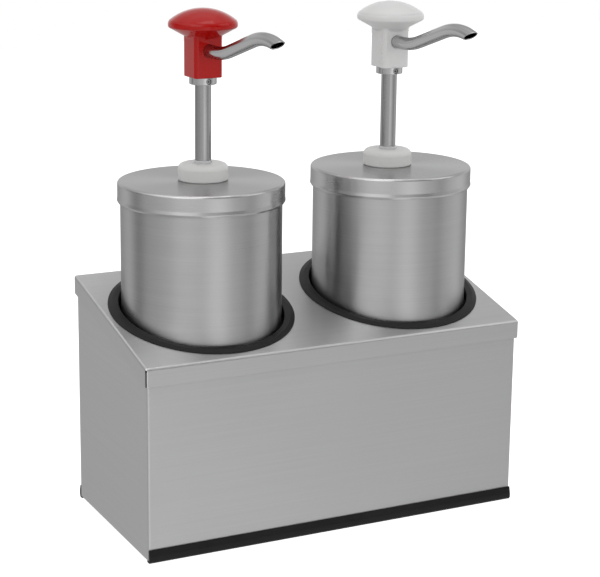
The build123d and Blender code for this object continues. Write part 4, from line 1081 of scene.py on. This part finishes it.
def ramp(tree, value, low, high, start=0.0, end=1.0):
    return add(tree, "ShaderNodeMapRange", {
        "Value": value, "From Min": low, "From Max": high, "To Min": start, "To Max": end,
    }, interpolation_type="SMOOTHSTEP").outputs[0]


def off_heading(tree, heading, centre):
    """How far a direction's heading lies from centre, in radians."""
    apart = figure(tree, "SUBTRACT", heading, radians(centre))
    return figure(tree, "ABSOLUTE", figure(tree, "WRAP", apart, pi, -pi))


def reflected_room(tree):
    """The brightness of the room in reflections."""
    direction = add(tree, "ShaderNodeTexCoord").outputs["Generated"]
    parts = add(tree, "ShaderNodeSeparateXYZ", {0: direction}).outputs
    heading = figure(tree, "ARCTAN2", parts[0], figure(tree, "MULTIPLY", parts[1], -1.0))
    horizon, upper, ceiling = (ramp(tree, parts[2], *ends) for ends in ZONE_EDGES)
    zones = {
        "floor": figure(tree, "SUBTRACT", 1.0, horizon),
        "horizon": figure(tree, "SUBTRACT", horizon, upper),
        "upper": figure(tree, "SUBTRACT", upper, ceiling),
    }
    total = figure(tree, "MULTIPLY", ceiling, CEILING_LEVEL)
    for zone, part_of_view in zones.items():
        level = ROOM_LEVEL
        for centre, spread, change in ROOM_CARDS[zone]:
            fade = ramp(tree, off_heading(tree, heading, centre), 0.0, radians(spread), change, 0.0)
            level = figure(tree, "ADD", fade, level)
        total = figure(tree, "MULTIPLY_ADD", part_of_view, level, total)
    return total


class WARMER_OT_stage(bpy.types.Operator):
    """Set the floor, the soft light, the white room and the camera"""
    bl_idname = "warmer.stage"
    bl_label = "Floor, light and camera"

    def execute(self, context):
        stage = context.scene.warmer_stage
        self.floor(stage)
        self.lamps(stage)
        self.room(stage)
        self.camera(stage)
        context.scene.view_settings.view_transform = "Standard"
        return {"FINISHED"}

    def floor(self, stage):
        deselect_all()
        bpy.ops.mesh.primitive_plane_add(size=FLOOR_SIZE, location=(0, 0, 0))
        floor = bpy.context.object
        floor.name = "floor"
        made = bpy.data.materials.new("pale floor")
        made.use_nodes = True
        tree = made.node_tree
        tree.nodes.clear()
        seen, mirror = sight_lines(tree)
        strength = figure(tree, "MULTIPLY", seen, stage.floor_glow)
        glow = add(tree, "ShaderNodeEmission", {"Color": opaque((1, 1, 1)), "Strength": strength})
        matt = add(tree, "ShaderNodeBsdfDiffuse", {"Color": opaque(stage.floor_colour)})
        both = add(tree, "ShaderNodeAddShader", {0: matt.outputs[0], 1: glow.outputs[0]})
        through = add(tree, "ShaderNodeBsdfTransparent")
        sight = add(tree, "ShaderNodeMixShader", {0: mirror, 1: both.outputs[0], 2: through.outputs[0]})
        add(tree, "ShaderNodeOutputMaterial", {"Surface": sight.outputs[0]})
        floor.data.materials.append(made)

    def lamps(self, stage):
        for name, place, size, level in LAMPS:
            deselect_all()
            turn = (Vector(place) - LAMPS_AIM).to_track_quat("Z", "Y").to_euler()
            bpy.ops.object.light_add(type="AREA", location=place, rotation=turn)
            lamp = bpy.context.object
            lamp.name = name
            lamp.data.size = size
            lamp.data.energy = stage.lamp_level * level * pi * size ** 2

    def room(self, stage):
        world = bpy.data.worlds.new("white room")
        bpy.context.scene.world = world
        world.use_nodes = True
        tree = world.node_tree
        tree.nodes.clear()
        seen, mirror = sight_lines(tree)
        plain = figure(tree, "MAXIMUM", seen, stage.room_light)
        unmirrored = figure(tree, "SUBTRACT", 1.0, mirror)
        mirrored = figure(tree, "MULTIPLY", mirror, reflected_room(tree))
        strength = figure(tree, "MULTIPLY_ADD", unmirrored, plain, mirrored)
        air = add(tree, "ShaderNodeBackground", {"Color": opaque((1, 1, 1)), "Strength": strength})
        add(tree, "ShaderNodeOutputWorld", {"Surface": air.outputs[0]})

    def camera(self, stage):
        yaw, pitch, roll = stage.camera_turn
        ahead = Vector((-sin(yaw) * cos(pitch), cos(yaw) * cos(pitch), -sin(pitch)))
        level = Vector((cos(yaw), sin(yaw), 0))
        upright = level.cross(ahead)
        right = level * cos(roll) + upright * sin(roll)
        up = upright * cos(roll) - level * sin(roll)
        turn = Matrix((right, up, -ahead)).transposed().to_euler()
        deselect_all()
        bpy.ops.object.camera_add(location=stage.camera_place, rotation=turn)
        camera = bpy.context.object
        camera.data.sensor_fit = "HORIZONTAL"
        camera.data.sensor_width = SENSOR_WIDTH
        camera.data.lens = stage.lens
        camera.data.shift_x, camera.data.shift_y = stage.camera_shift
        camera.data.clip_end = VIEW_DEPTH
        bpy.context.scene.camera = camera


# ---------------------------------------------------------------- sidebar and registration
BUILD_ORDER = (
    WARMER_OT_deck, WARMER_OT_rings, WARMER_OT_jars, WARMER_OT_lids, WARMER_OT_collars, WARMER_OT_stems,
    WARMER_OT_heads, WARMER_OT_spouts, WARMER_OT_stop_collars, WARMER_OT_springs, WARMER_OT_carried_parts,
    WARMER_OT_stage,
)


class WARMER_PT_sidebar(bpy.types.Panel):
    """Lists the pieces of the warmer and their settings"""
    bl_idname = "WARMER_PT_sidebar"
    bl_label = "Topping warmer"
    bl_space_type = "VIEW_3D"
    bl_region_type = "UI"
    bl_category = "Warmer"

    def draw(self, context):
        for piece in BUILD_ORDER:
            self.layout.operator(piece.bl_idname)
        for settings in (context.scene.warmer_sizes, context.scene.warmer_finishes, context.scene.warmer_stage):
            box = self.layout.box()
            for name in settings.__annotations__:
                box.prop(settings, name)


CLASSES = (WarmerSizes, WarmerFinishes, WarmerStage, *BUILD_ORDER, WARMER_PT_sidebar)


def register():
    for made in CLASSES:
        bpy.utils.register_class(made)
    bpy.types.Scene.warmer_sizes = bpy.props.PointerProperty(type=WarmerSizes)
    bpy.types.Scene.warmer_finishes = bpy.props.PointerProperty(type=WarmerFinishes)
    bpy.types.Scene.warmer_stage = bpy.props.PointerProperty(type=WarmerStage)


def unregister():
    del bpy.types.Scene.warmer_stage
    del bpy.types.Scene.warmer_finishes
    del bpy.types.Scene.warmer_sizes
    for made in reversed(CLASSES):
        bpy.utils.unregister_class(made)


def main():
    register()
    for piece in BUILD_ORDER:
        area, name = piece.bl_idname.split(".")
        getattr(getattr(bpy.ops, area), name)()
    deselect_all()


if __name__ == "__main__":
    main()
